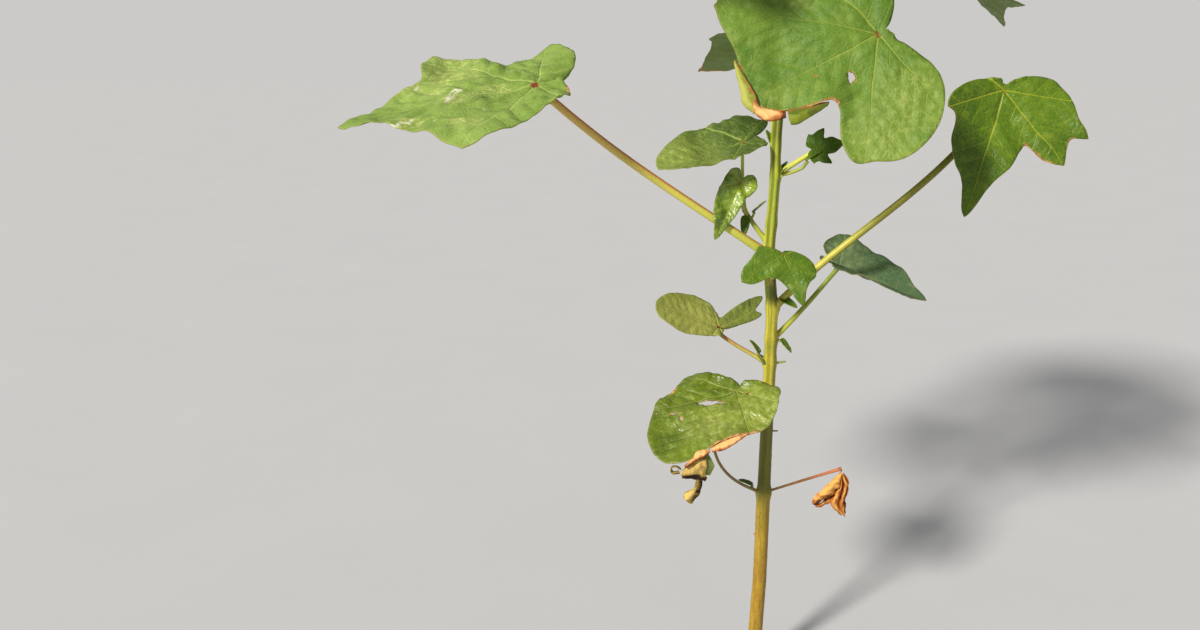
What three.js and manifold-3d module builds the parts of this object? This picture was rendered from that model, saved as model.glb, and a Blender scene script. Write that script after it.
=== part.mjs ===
// A young field cotton plant, 0.45 m tall: one upright stem from a flat cut at ground level to its growing
// tip, two seed leaves low down, and true leaves on long stalks that turn round the stem up to the tip.
// Millimetres, +Z up, the origin in the middle of the flat cut, and -Y towards the viewer.

import * as THREE from "three";
import { mergeVertices } from "three/addons/utils/BufferGeometryUtils.js";
import Module from "manifold-3d";

// Driving sizes of the stem

const STEM_TOP = 424;
const GROUND_RADIUS = 4.9;
const FLARE_HEIGHT = 14;
const JOINT_HALF_LENGTH = 5;
const STEM_SIDES = 14;
const TIP_LENGTH = 1.6;

// A leaf joint stands out by this share of the radius for each millimetre of radius.
const JOINT_SWELLING = 0.05;

// The foot of the stem, its leaf joints and its end: height above the ground, lean to +X, lean to +Y, radius.
const STEM_FOOT = [
  [0, 0, 0, 4.0],
  [60, 1.4, 0, 3.75],
];
const STEM_JOINTS = [
  [113, 1.0, 0.0, 3.5],
  [188, 0.4, 0.0, 3.05],
  [201, 0.2, 0.0, 3.0],
  [218, 0.0, 0.0, 2.95],
  [246, -3.2, 0.0, 2.8],
  [262, -2.6, 0.2, 2.7],
  [286, -2.0, 0.0, 2.6],
  [301, -2.6, 0.4, 2.5],
  [318, -2.2, -0.2, 2.4],
  [333, -1.2, 0.6, 2.25],
  [346, -2.4, 0.2, 2.1],
  [358, -1.0, -0.4, 1.95],
  [369, -2.0, 0.8, 1.75],
  [379, -2.6, -0.2, 1.6],
  [388, -1.4, 0.2, 1.45],
  [397, -2.4, 0.8, 1.3],
  [405, -1.4, 0.0, 1.15],
  [412, -1.8, 0.8, 1.0],
  [418, -1.6, 0.8, 0.9],
];
const STEM_END = [STEM_TOP, -1.8, 1.2, 0.7];
const LEAST_SECTION_STEP = 2;

// Driving sizes of the leaves

const CLEARANCE = 0.3;
const STALK_SIDES = 6;
const STALK_STEP = 15;
const LEAST_STALK_STEPS = 3;
const STALK_SUBSTEPS = 4;
const STALK_TAPER = 0.75;
const SHOOT_TAPER = 0.8;
const BLADE_THICKNESS_SHARE = 0.017;
const LEAST_THICKNESS = 0.9;
const BLADE_RINGS = 3;
const SMALL_BLADE_RINGS = 2;
const SMALL_BLADE = 24;
const NOTCH_REACH = 0.05;
const EDGE_WAVES = 5;

// Leaf outlines, seen from above: degrees from the middle lobe, and the edge's distance from the point where
// the stalk meets the blade, as a share of the middle lobe. Those that start at 0 are the same on both sides.
const OUTLINES = {
  fiveLobed: [
    [0, 1.0], [9, 0.9], [22, 0.74], [33, 0.7], [46, 0.82], [53, 0.88], [61, 0.79],
    [76, 0.64], [90, 0.61], [104, 0.65], [118, 0.59], [142, 0.48], [164, 0.34],
  ],
  threeLobed: [
    [0, 1.0], [10, 0.92], [24, 0.8], [37, 0.78], [50, 0.87], [57, 0.9], [68, 0.8],
    [92, 0.66], [118, 0.62], [145, 0.52], [166, 0.34],
  ],
  deepLobed: [
    [0, 1.0], [6, 0.86], [14, 0.75], [24, 0.65], [37, 0.46], [46, 0.5], [57, 0.72],
    [68, 0.64], [90, 0.46], [104, 0.5], [125, 0.4], [158, 0.26],
  ],
  narrow: [[0, 1.0], [8, 0.88], [20, 0.76], [36, 0.62], [56, 0.52], [80, 0.46], [112, 0.44], [145, 0.3]],
  slim: [[0, 1.0], [10, 0.82], [24, 0.56], [45, 0.36], [80, 0.24], [130, 0.16]],
  withered: [[0, 0.85], [12, 0.92], [22, 1.0], [32, 0.72], [50, 0.42], [90, 0.26], [150, 0.16]],
  // The left seed leaf is kidney-shaped, and short on the side where its margin has dried.
  seedLeaf: [
    [-158, 0.12], [-130, 0.2], [-112, 0.34], [-102, 0.5], [-88, 0.61], [-71, 0.62], [-57, 0.76],
    [-46, 0.85], [-35, 0.95], [-26, 1.02], [-16, 1.07], [-6, 1.06], [1, 0.98], [6, 0.86],
    [12, 0.78], [24, 0.67], [38, 0.61], [55, 0.58], [73, 0.51], [96, 0.44], [112, 0.42],
    [127, 0.34], [140, 0.22], [158, 0.12],
  ],
  // The big front leaf has three broad lobes, with a sharp bay beside the middle one.
  frontLeaf: [
    [-168, 0.12], [-154, 0.22], [-142, 0.36], [-124, 0.7], [-100, 0.95], [-70, 0.98], [-46, 1.16],
    [-27, 1.02], [-3, 1.01], [12, 0.76], [22, 0.6], [30, 0.64], [37, 0.84], [43, 0.95],
    [53, 0.94], [64, 0.94], [76, 0.87], [92, 0.72], [107, 0.53], [123, 0.22], [150, 0.09],
  ],
  // The big left leaf has its widest lobes on the far side.
  leftLeaf: [
    [-152, 0.24], [-128, 0.58], [-112, 0.74], [-88, 0.54], [-66, 0.88], [-42, 0.7], [-14, 0.86],
    [0, 1.0], [14, 0.88], [28, 0.8], [48, 0.78], [75, 0.46], [120, 0.24], [155, 0.14],
  ],
  // The young leaf in front of the stem has its large side lobe on the left.
  oneSided: [
    [-150, 0.09], [-134, 0.26], [-126, 0.48], [-112, 0.55], [-99, 0.66], [-90, 0.82], [-76, 0.94],
    [-66, 0.84], [-56, 0.58], [-42, 0.5], [-28, 0.51], [-11, 0.7], [0, 1.0], [10, 0.8],
    [22, 0.71], [34, 0.72], [48, 0.64], [61, 0.48], [80, 0.22], [120, 0.1], [150, 0.07],
  ],
  // The leaf on the left side shoot is broad on its far side.
  shootLeaf: [
    [-168, 0.28], [-158, 0.48], [-141, 0.45], [-114, 0.42], [-80, 0.4], [-54, 0.48], [-44, 0.58],
    [-30, 0.7], [-17, 0.86], [-4, 1.0], [7, 1.04], [15, 1.0], [23, 0.78], [32, 0.6],
    [48, 0.5], [75, 0.4], [110, 0.3], [145, 0.2],
  ],
  // The low left leaf has an egg-shaped middle lobe and two narrow back lobes.
  backLobed: [
    [-162, 0.12], [-150, 0.38], [-141, 0.86], [-134, 0.8], [-126, 1.08], [-117, 0.66], [-106, 0.32],
    [-88, 0.22], [-66, 0.34], [-50, 0.47], [-32, 0.7], [-13, 0.94], [0, 1.04], [12, 1.03],
    [22, 0.94], [31, 0.78], [41, 0.5], [60, 0.27], [100, 0.19], [150, 0.09],
  ],
  // The long-stalked right leaf hangs by a broad middle lobe, with its side lobes on the right.
  hangingLeaf: [
    [-150, 0.07], [-111, 0.13], [-86, 0.25], [-73, 0.36], [-62, 0.47], [-54, 0.51], [-45, 0.47],
    [-37, 0.49], [-27, 0.59], [-15, 0.69], [-5, 0.8], [2, 0.99], [9, 0.77], [22, 0.59],
    [34, 0.48], [42, 0.46], [49, 0.62], [57, 0.69], [66, 0.63], [72, 0.61], [77, 0.67],
    [86, 0.57], [95, 0.52], [107, 0.46], [120, 0.39], [132, 0.29], [146, 0.16], [162, 0.09],
  ],
  // The crumpled young leaf of the side shoot has two short base lobes.
  crumpled: [
    [-155, 0.2], [-125, 0.26], [-95, 0.28], [-64, 0.33], [-34, 0.5], [-18, 0.7], [-8, 0.84],
    [0, 1.0], [6, 0.8], [14, 0.54], [28, 0.34], [60, 0.27], [105, 0.27], [140, 0.24],
    [160, 0.16],
  ],
};

// The leaves, from the ground up. A leaf's stalk starts at height "at" on the stem, in the compass
// direction "around" (0 is +X, 90 is away from the viewer). It climbs at "rise" degrees and ends at "lift"
// degrees. It is "stalk" mm long and "sag" degrees flatter half-way, with radius "thick". The blade's middle
// lobe is "size" mm long, points to "head", slopes by "dip" and leans sideways by "bank" degrees. Its two
// halves fold up by "fold", its tip curls down by "curl", and its edge waves by "wave", as shares of "size".
const LEAVES = [
  { name: "seed_leaf_left", at: 113, around: 212, rise: 26, lift: 158, sag: 30, stalk: 87, thick: 0.85,
    outline: "seedLeaf", size: 53, head: 232, dip: -24, bank: 0, fold: 0, curl: 0, wave: 0.03 },
  { name: "seed_leaf_right", at: 113, around: 3, rise: 18, lift: 17, sag: 0, stalk: 44, thick: 0.95,
    outline: "withered", size: 25, head: 195, dip: -66, bank: 60, fold: 0.3, curl: 0, wave: 0.1 },
  { name: "leaf_01_low_left", at: 187, around: 168, rise: 31, lift: 38, sag: 0, stalk: 33, thick: 1.2,
    outline: "backLobed", size: 35, head: 185, dip: 24, bank: 34, fold: 0.1, curl: 0, wave: 0.03 },
  { name: "leaf_02_low_right", at: 200, around: 25, rise: 36, lift: 47, sag: 0, stalk: 55, thick: 1.4,
    outline: "narrow", size: 46, head: -16, dip: -20, bank: -10, fold: 0.38, curl: 0, wave: 0.03 },
  { name: "leaf_03_hanging_right", at: 217, around: 356, rise: 50, lift: 63, sag: 15, stalk: 152, thick: 1.9,
    outline: "hangingLeaf", size: 62, head: 222, dip: -62, bank: 50, fold: 0.15, curl: 0, wave: 0.03 },
  { name: "leaf_04_young_front", at: 232, around: 280, rise: 42, lift: 52, sag: 0, stalk: 25, thick: 0.8,
    outline: "oneSided", size: 26, head: 311, dip: -60, bank: -35, fold: 0, curl: 0, wave: 0.04 },
  { name: "leaf_05_big_left", at: 246, around: 194, rise: 34, lift: 43, sag: 4, stalk: 145, thick: 1.95,
    outline: "leftLeaf", size: 86, head: 200, dip: -6, bank: 11, fold: 0, curl: 0.08, wave: 0.03 },
  { name: "leaf_08_back", at: 262, around: 79, rise: 54, lift: 38, sag: 0, stalk: 120, thick: 1.8,
    outline: "fiveLobed", size: 64, head: 84, dip: -22, bank: 6, fold: 0.06, curl: 0.08, wave: 0.03 },
  { name: "leaf_09_young_right", at: 286, around: 0, rise: 38, lift: 32, sag: 0, stalk: 23, thick: 1.15,
    outline: "deepLobed", size: 15, head: -5, dip: 12, bank: -60, fold: 0.1, curl: 0, wave: 0.04 },
  { name: "leaf_10_back", at: 301, around: 90, rise: 62, lift: 48, sag: 0, stalk: 112, thick: 1.8,
    outline: "threeLobed", size: 66, head: 92, dip: -14, bank: -6, fold: 0.08, curl: 0.1, wave: 0.03 },
  { name: "leaf_11_back_left", at: 333, around: 160, rise: 52, lift: 38, sag: 0, stalk: 98, thick: 1.75,
    outline: "fiveLobed", size: 70, head: 158, dip: -12, bank: 8, fold: 0.08, curl: 0.1, wave: 0.03 },
  { name: "leaf_12_big_front", at: 318, around: 302, rise: 33, lift: 29, sag: 0, stalk: 69, thick: 1.7,
    outline: "frontLeaf", size: 59, head: 191, dip: -32, bank: 60, fold: 0, curl: 0, wave: 0.02 },
  { name: "leaf_13_right", at: 346, around: 25, rise: 36, lift: 22, sag: 0, stalk: 92, thick: 1.65,
    outline: "threeLobed", size: 64, head: 18, dip: -26, bank: -18, fold: 0.06, curl: 0.08, wave: 0.03 },
  { name: "leaf_14_left", at: 358, around: 214, rise: 46, lift: 34, sag: 0, stalk: 86, thick: 1.55,
    outline: "fiveLobed", size: 62, head: 218, dip: -16, bank: 4, fold: 0.1, curl: 0.1, wave: 0.03 },
  { name: "leaf_15_front_right", at: 369, around: 338, rise: 44, lift: 30, sag: 0, stalk: 76, thick: 1.45,
    outline: "fiveLobed", size: 58, head: 332, dip: -12, bank: -6, fold: 0.1, curl: 0.1, wave: 0.03 },
  { name: "leaf_16_back", at: 379, around: 96, rise: 50, lift: 36, sag: 0, stalk: 66, thick: 1.3,
    outline: "fiveLobed", size: 52, head: 92, dip: -14, bank: 4, fold: 0.12, curl: 0.1, wave: 0.03 },
  { name: "leaf_17_front_left", at: 388, around: 246, rise: 52, lift: 38, sag: 0, stalk: 54, thick: 1.15,
    outline: "fiveLobed", size: 45, head: 250, dip: -10, bank: -4, fold: 0.12, curl: 0.08, wave: 0.03 },
  { name: "leaf_18_right", at: 397, around: 24, rise: 58, lift: 46, sag: 0, stalk: 42, thick: 1.0,
    outline: "fiveLobed", size: 37, head: 20, dip: -8, bank: 2, fold: 0.14, curl: 0.06, wave: 0.03 },
  { name: "leaf_19_back_left", at: 405, around: 158, rise: 62, lift: 52, sag: 0, stalk: 31, thick: 0.9,
    outline: "fiveLobed", size: 29, head: 160, dip: 0, bank: 0, fold: 0.18, curl: 0.04, wave: 0.03 },
  { name: "leaf_20_front", at: 412, around: 292, rise: 66, lift: 58, sag: 0, stalk: 22, thick: 0.8,
    outline: "deepLobed", size: 22, head: 288, dip: 10, bank: 0, fold: 0.22, curl: 0, wave: 0.03 },
];

// Small leaves in the angle between a stalk and the stem. Each starts on the stalk of the leaf it is named
// for, "along" that share of its length.
const BUD_LEAVES = [
  { name: "seed_leaf_left", along: 0.07, around: 196, rise: 50, lift: 60, sag: 0, stalk: 5, thick: 0.6,
    outline: "slim", size: 8, head: 188, dip: 24, bank: 10, fold: 0.3, curl: 0, wave: 0 },
  { name: "leaf_01_low_left", along: 0.13, around: 186, rise: 62, lift: 72, sag: 0, stalk: 5, thick: 0.65,
    outline: "slim", size: 8, head: 175, dip: 52, bank: 20, fold: 0.3, curl: 0, wave: 0 },
  { name: "leaf_02_low_right", along: 0.1, around: 330, rise: -10, lift: -10, sag: 0, stalk: 5, thick: 0.7,
    outline: "slim", size: 9, head: 318, dip: -42, bank: 0, fold: 0.3, curl: 0, wave: 0 },
  { name: "leaf_09_young_right", along: 0.14, around: -8, rise: 14, lift: 40, sag: 0, stalk: 14, thick: 0.9,
    outline: "slim", size: 8, head: 0, dip: 30, bank: 0, fold: 0.3, curl: 0, wave: 0 },
];

// The folded leaves of the growing tip, which start together just above the stem's end.
const TIP_LEAVES = [
  { name: "tip_leaves", around: 66, rise: 70, lift: 62, sag: 0, stalk: 13, thick: 0.9,
    outline: "slim", size: 17, head: 66, dip: 34, bank: 0, fold: 0.35, curl: 0, wave: 0 },
  { name: "tip_leaves", around: 204, rise: 76, lift: 70, sag: 0, stalk: 10, thick: 0.8,
    outline: "slim", size: 14, head: 204, dip: 46, bank: 0, fold: 0.35, curl: 0, wave: 0 },
  { name: "tip_leaves", around: 330, rise: 82, lift: 80, sag: 0, stalk: 9, thick: 0.8,
    outline: "slim", size: 12, head: 330, dip: 60, bank: 0, fold: 0.35, curl: 0, wave: 0 },
];

// The left side shoot grows from the joint of the big left leaf and carries two leaves of its own.
const SIDE_SHOOT = { at: 251, around: 163, rise: 48, lift: 56, sag: 0, stalk: 22, thick: 1.3 };
const SHOOT_LEAVES = [
  { name: "leaf_06_shoot_young", along: 0.8, around: 225, rise: 55, lift: 78, sag: 0, stalk: 20, thick: 0.75,
    outline: "crumpled", size: 30, head: 215, dip: -60, bank: 60, fold: 0.3, curl: 0, wave: 0.04 },
  { name: "leaf_07_shoot_left", along: 1, around: 125, rise: 80, lift: 90, sag: 0, stalk: 34, thick: 0.95,
    outline: "shootLeaf", size: 48, head: 206, dip: -12, bank: 15, fold: 0.2, curl: 0, wave: 0.02 },
];

// Colours and finishes of the sub-parts

const FINISHES = {
  stem: { color: 0x8f8a2c, roughness: 0.55, metalness: 0 },
  leaf: { color: 0x6a8f3c, roughness: 0.5, metalness: 0 },
  youngLeaf: { color: 0x55822c, roughness: 0.4, metalness: 0 },
  driedLeaf: { color: 0xa9713a, roughness: 0.9, metalness: 0 },
};
const YOUNG = [
  "leaf_04_young_front",
  "leaf_06_shoot_young",
  "leaf_09_young_right",
  "leaf_20_front",
  "tip_leaves",
];

const radians = THREE.MathUtils.degToRad;
const wasm = await Module();
wasm.setup();

// A closed solid from a three.js geometry whose shared vertices become one.
function solidFrom(geometry) {
  const bare = geometry.clone();
  bare.deleteAttribute("normal");
  bare.deleteAttribute("uv");
  const merged = mergeVertices(bare, 1e-4);
  return new wasm.Manifold(
    new wasm.Mesh({
      numProp: 3,
      vertProperties: new Float32Array(merged.attributes.position.array),
      triVerts: new Uint32Array(merged.index.array),
    }),
  );
}

// The largest body of a solid that a cut may have left with loose scraps.
function largestBody(solid) {
  return solid.decompose().reduce((best, body) => (body.volume() > best.volume() ? body : best));
}

// A named mesh from a closed solid.
function meshFrom(name, solid, finish) {
  const result = solid.getMesh();
  const geometry = new THREE.BufferGeometry();
  geometry.setAttribute("position", new THREE.BufferAttribute(result.vertProperties, 3));
  geometry.setIndex(new THREE.BufferAttribute(result.triVerts, 1));
  geometry.computeVertexNormals();
  const mesh = new THREE.Mesh(geometry, new THREE.MeshStandardMaterial(FINISHES[finish]));
  mesh.name = name;
  return mesh;
}

const STEM_LINE = [...STEM_FOOT, ...STEM_JOINTS, STEM_END];

// The middle of the stem at a height, and its radius without flare or swellings.
function stemAt(height) {
  const reached = STEM_LINE.findIndex((row) => row[0] >= height);
  const above = reached < 0 ? STEM_LINE.length - 1 : Math.max(reached, 1);
  const upper = STEM_LINE[above];
  const lower = STEM_LINE[above - 1];
  const share = THREE.MathUtils.clamp((height - lower[0]) / (upper[0] - lower[0]), 0, 1);
  const mix = (column) => THREE.MathUtils.lerp(lower[column], upper[column], share);
  return { middle: new THREE.Vector3(mix(1), mix(2), height), radius: mix(3) };
}

// The stem's radius at a height, with the flare at the ground and a swelling at each joint.
function stemRadius(height) {
  const { radius } = stemAt(height);
  const flare = (GROUND_RADIUS - STEM_FOOT[0][3]) * Math.max(0, 1 - height / FLARE_HEIGHT) ** 2;
  const nearest = Math.min(...STEM_JOINTS.map((joint) => Math.abs(height - joint[0])));
  const swelling = JOINT_SWELLING * radius * Math.max(0, 1 - nearest / JOINT_HALF_LENGTH);
  return radius * (1 + swelling) + flare;
}

// The heights at which the stem's section is set: the flare, and below, at and above every joint.
function stemHeights() {
  const heights = [0, FLARE_HEIGHT / 4, FLARE_HEIGHT / 2, FLARE_HEIGHT, STEM_FOOT[1][0]];
  for (const [height] of STEM_JOINTS) {
    for (const offset of [-JOINT_HALF_LENGTH, 0, JOINT_HALF_LENGTH]) heights.push(height + offset);
  }
  heights.push(STEM_TOP);
  heights.sort((a, b) => a - b);
  return heights.filter((height, index) => index === 0 || height - heights[index - 1] > LEAST_SECTION_STEP);
}

// The stem as a turned profile that then leans with the joints; "extra" makes it thicker all round.
function stemSolid(extra) {
  const heights = stemHeights();
  const profile = [new THREE.Vector2(0, -extra)];
  heights.forEach((height, index) => {
    const end = index === 0 ? -extra : height === STEM_TOP ? extra : 0;
    profile.push(new THREE.Vector2(stemRadius(height) + extra, height + end));
  });
  profile.push(new THREE.Vector2(0, STEM_TOP + TIP_LENGTH + extra));
  const geometry = new THREE.LatheGeometry(profile, STEM_SIDES);
  const place = geometry.attributes.position;
  for (let i = 0; i < place.count; i++) {
    const height = place.getY(i);
    const { middle } = stemAt(THREE.MathUtils.clamp(height, 0, STEM_TOP));
    place.setXYZ(i, place.getX(i) + middle.x, -place.getZ(i) + middle.y, height);
  }
  return solidFrom(geometry);
}

// The points of a stalk's middle line: it climbs from "rise" to "lift", flatter half-way by "sag".
function stalkLine(leaf, start) {
  const steps = Math.max(LEAST_STALK_STEPS, Math.round(leaf.stalk / STALK_STEP) + 2);
  const count = steps * STALK_SUBSTEPS;
  const length = leaf.stalk / count;
  const around = radians(leaf.around);
  const points = [start.clone()];
  const point = start.clone();
  for (let i = 0; i < count; i++) {
    const share = (i + 0.5) / count;
    const climb = radians(leaf.rise + (leaf.lift - leaf.rise) * share - leaf.sag * Math.sin(Math.PI * share));
    point.x += length * Math.cos(climb) * Math.cos(around);
    point.y += length * Math.cos(climb) * Math.sin(around);
    point.z += length * Math.sin(climb);
    if ((i + 1) % STALK_SUBSTEPS === 0) points.push(point.clone());
  }
  return points;
}

// A closed tube that follows points and narrows from its first radius to its last.
function taperedTube(points, firstRadius, lastRadius) {
  const steps = points.length - 1;
  const geometry = new THREE.CylinderGeometry(1, 1, 1, STALK_SIDES, steps);
  const place = geometry.attributes.position;
  const guide = new THREE.Vector3().subVectors(points[steps], points[0]);
  const across = new THREE.Vector3(-guide.y, guide.x, 0);
  if (across.length() < 1e-3) across.set(1, 0, 0);
  across.normalize();
  for (let i = 0; i < place.count; i++) {
    const share = 0.5 - place.getY(i);
    const index = Math.round(share * steps);
    const before = points[Math.max(index - 1, 0)];
    const after = points[Math.min(index + 1, steps)];
    const along = new THREE.Vector3().subVectors(after, before).normalize();
    const upward = new THREE.Vector3().crossVectors(along, across).normalize();
    const radius = THREE.MathUtils.lerp(firstRadius, lastRadius, index / steps);
    const moved = points[index].clone();
    moved.addScaledVector(across, place.getX(i) * radius);
    moved.addScaledVector(upward, place.getZ(i) * radius);
    place.setXYZ(i, moved.x, moved.y, moved.z);
  }
  return solidFrom(geometry);
}

// All the points of an outline, on both sides and with the notch where the stalk enters.
function fullOutline(name) {
  const points = OUTLINES[name];
  const mirrored = points[0][0] < 0 ? [] : points.slice(1).map(([degrees, reach]) => [-degrees, reach]);
  return [...mirrored.reverse(), ...points, [180, NOTCH_REACH]];
}

// The three directions of a blade: along its middle lobe, to its left side and out of its upper face.
function bladeAxes(leaf) {
  const head = radians(leaf.head);
  const dip = radians(leaf.dip);
  const bank = radians(leaf.bank);
  const reach = Math.cos(dip);
  const along = new THREE.Vector3(reach * Math.cos(head), reach * Math.sin(head), Math.sin(dip));
  const level = new THREE.Vector3(-Math.sin(head), Math.cos(head), 0);
  const upward = new THREE.Vector3().crossVectors(along, level);
  const out = upward.multiplyScalar(Math.cos(bank)).addScaledVector(level, Math.sin(bank));
  const side = new THREE.Vector3().crossVectors(out, along);
  return { along, side, out };
}

// How far the blade stands off its flat plane at a place, as a share of its size.
function bladeRelief(leaf, share, degrees, x, y) {
  const wave = leaf.wave * share ** 3 * Math.sin(EDGE_WAVES * radians(degrees));
  return leaf.fold * Math.abs(y) - leaf.curl * x * Math.abs(x) + wave;
}

// A blade: a ball pressed flat, whose rim follows the outline and whose poles lie where the stalk meets it.
// Its rings of corners run from the upper pole (ring 0) to the rim and back under it to the lower pole.
function bladeSolid(leaf, foot) {
  const outline = fullOutline(leaf.outline);
  const rings = leaf.size < SMALL_BLADE ? SMALL_BLADE_RINGS : BLADE_RINGS;
  const spokes = outline.length;
  const geometry = new THREE.SphereGeometry(1, spokes, 2 * rings);
  const place = geometry.attributes.position;
  const { along, side, out } = bladeAxes(leaf);
  const thickness = Math.max(LEAST_THICKNESS, BLADE_THICKNESS_SHARE * leaf.size);
  for (let i = 0; i < place.count; i++) {
    const ring = Math.floor(i / (spokes + 1));
    const [degrees, reach] = outline[(i % (spokes + 1)) % spokes];
    const slant = (Math.PI / 2) * (ring / rings);
    const share = Math.sin(slant);
    const x = share * reach * Math.cos(radians(degrees));
    const y = share * reach * Math.sin(radians(degrees));
    const half = ring === rings ? 0 : (Math.sign(rings - ring) * thickness * (1 - share ** 4)) / 2;
    const height = leaf.size * bladeRelief(leaf, share, degrees, x, y) + half;
    const moved = foot.clone();
    moved.addScaledVector(along, leaf.size * x);
    moved.addScaledVector(side, leaf.size * y);
    moved.addScaledVector(out, height);
    place.setXYZ(i, moved.x, moved.y, moved.z);
  }
  return solidFrom(geometry);
}

// A whole leaf: its stalk from a starting point, and its blade at the stalk's far end.
function leafSolid(leaf, start) {
  const line = stalkLine(leaf, start);
  const stalk = taperedTube(line, leaf.thick, leaf.thick * STALK_TAPER);
  return stalk.add(bladeSolid(leaf, line[line.length - 1]));
}

// The stem and what keeps clear of it

const plant = new THREE.Group();
const stem = stemSolid(0);
const stemAndGap = stemSolid(CLEARANCE);
plant.add(meshFrom("stem", stem, "stem"));

const solids = new Map();
const stalks = new Map();
for (const leaf of LEAVES) {
  const start = stemAt(leaf.at).middle;
  solids.set(leaf.name, leafSolid(leaf, start));
  stalks.set(leaf.name, new THREE.CatmullRomCurve3(stalkLine(leaf, start)));
}
for (const leaf of BUD_LEAVES) {
  const start = stalks.get(leaf.name).getPointAt(leaf.along);
  solids.set(leaf.name, solids.get(leaf.name).add(leafSolid(leaf, start)));
}

// The growing tip, clear of the stem's end

const tipStart = stemAt(STEM_TOP + TIP_LENGTH + CLEARANCE).middle;
const tipParts = TIP_LEAVES.map((leaf) => leafSolid(leaf, tipStart));
solids.set("tip_leaves", tipParts.reduce((all, one) => all.add(one)));

// The side shoot, and its two leaves that start on its line

const shootLine = stalkLine(SIDE_SHOOT, stemAt(SIDE_SHOOT.at).middle);
const shootCurve = new THREE.CatmullRomCurve3(shootLine);
const shootEnd = shootCurve.getPoint(1);
const shootWay = shootCurve.getTangent(1);
solids.set("side_shoot_left", taperedTube(shootLine, SIDE_SHOOT.thick, SIDE_SHOOT.thick * SHOOT_TAPER));
const grownEnd = shootEnd.clone().addScaledVector(shootWay, CLEARANCE);
const shootAndGap = taperedTube(
  [...shootLine.slice(0, -1), grownEnd],
  SIDE_SHOOT.thick + CLEARANCE,
  SIDE_SHOOT.thick * SHOOT_TAPER + CLEARANCE,
);
for (const leaf of SHOOT_LEAVES) {
  const whole = leafSolid(leaf, shootCurve.getPoint(leaf.along));
  solids.set(leaf.name, whole.subtract(shootAndGap));
}

// Each sub-part is cut clear of the stem and takes its finish from its kind.

function finishOf(name) {
  if (name === "side_shoot_left") return "stem";
  if (name === "seed_leaf_right") return "driedLeaf";
  return YOUNG.includes(name) ? "youngLeaf" : "leaf";
}

for (const [name, solid] of solids) {
  plant.add(meshFrom(name, largestBody(solid.subtract(stemAndGap)), finishOf(name)));
}

export default plant;
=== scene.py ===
# %% [markdown]
# # A young field cotton plant
# A single upright stem, two seed leaves low down, and lobed true leaves on long stalks that turn round
# the stem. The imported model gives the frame. Every piece made below stands where its solid stands, with
# the finer form and the finish that the solid leaves out. Sizes are in millimetres until a mesh is made,
# and then in metres.

# %% Load the frame
import bpy
import math
import numpy as np
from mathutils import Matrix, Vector
from mathutils.geometry import delaunay_2d_cdt


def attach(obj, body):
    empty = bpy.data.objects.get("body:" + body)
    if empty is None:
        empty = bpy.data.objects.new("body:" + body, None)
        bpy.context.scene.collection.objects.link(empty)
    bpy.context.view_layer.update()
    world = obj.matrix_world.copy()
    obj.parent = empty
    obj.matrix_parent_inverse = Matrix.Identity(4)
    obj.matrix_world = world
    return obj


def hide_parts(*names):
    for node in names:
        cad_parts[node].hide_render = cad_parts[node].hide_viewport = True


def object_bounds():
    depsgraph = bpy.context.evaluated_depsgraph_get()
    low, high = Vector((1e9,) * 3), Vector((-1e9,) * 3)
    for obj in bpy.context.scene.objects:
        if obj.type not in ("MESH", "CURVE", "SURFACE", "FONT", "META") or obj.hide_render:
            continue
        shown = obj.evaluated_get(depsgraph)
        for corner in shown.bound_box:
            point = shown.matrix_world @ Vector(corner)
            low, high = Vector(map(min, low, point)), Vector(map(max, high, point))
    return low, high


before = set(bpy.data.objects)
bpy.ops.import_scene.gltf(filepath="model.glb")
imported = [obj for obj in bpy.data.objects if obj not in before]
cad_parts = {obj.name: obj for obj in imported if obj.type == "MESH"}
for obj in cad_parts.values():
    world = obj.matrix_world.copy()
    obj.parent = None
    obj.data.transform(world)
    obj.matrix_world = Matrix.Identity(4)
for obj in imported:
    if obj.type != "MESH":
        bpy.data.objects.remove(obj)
cad_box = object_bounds()
MM = 0.001
box_size = [round(1000 * (high - low)) for low, high in zip(*cad_box)]
print("frame:", len(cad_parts), "nodes; the box is", box_size, "mm")

# %% [markdown]
# ## Camera
# The photograph looks down by 17 degrees from the height of the big front leaf, close to the plant, so
# the leaves near the lens are drawn large. The camera stands about half a metre away and a little to the
# left of the stem.

# %% Camera
CAMERA_PLACE = (-0.0882, -0.467, 0.357)
CAMERA_DOWN = 17.0
CAMERA_LENS = 28.5
CAMERA_SENSOR = 36.0
CAMERA_NEAREST = 0.01

camera = bpy.data.objects.new("camera", bpy.data.cameras.new("camera"))
bpy.context.scene.collection.objects.link(camera)
camera.location = CAMERA_PLACE
camera.rotation_euler = (math.radians(90 - CAMERA_DOWN), 0, 0)
camera.data.lens = CAMERA_LENS
camera.data.sensor_width = CAMERA_SENSOR
camera.data.clip_start = CAMERA_NEAREST
bpy.context.scene.camera = camera
print("camera:", CAMERA_PLACE, "lens", CAMERA_LENS)

# %% [markdown]
# ## Light
# The photograph's low sun becomes one broad warm lamp from the left and the front, with a pale sky all
# round. The sky lights the plant less than it shows, so the shadows keep some of their depth. The
# Standard view shows the greens as they are mixed, without the film curve that would grey them.

# %% Light
SUN_FROM = (-0.66, -0.66, 0.6)
SUN_STRENGTH = 4.45
SUN_SIZE = 9.0
SUN_COLOUR = (1.0, 0.95, 0.86)
SKY_COLOUR = (1.0, 0.985, 0.96, 1.0)
SKY_STRENGTH = 0.38
BACKDROP_STRENGTH = 0.6

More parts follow.
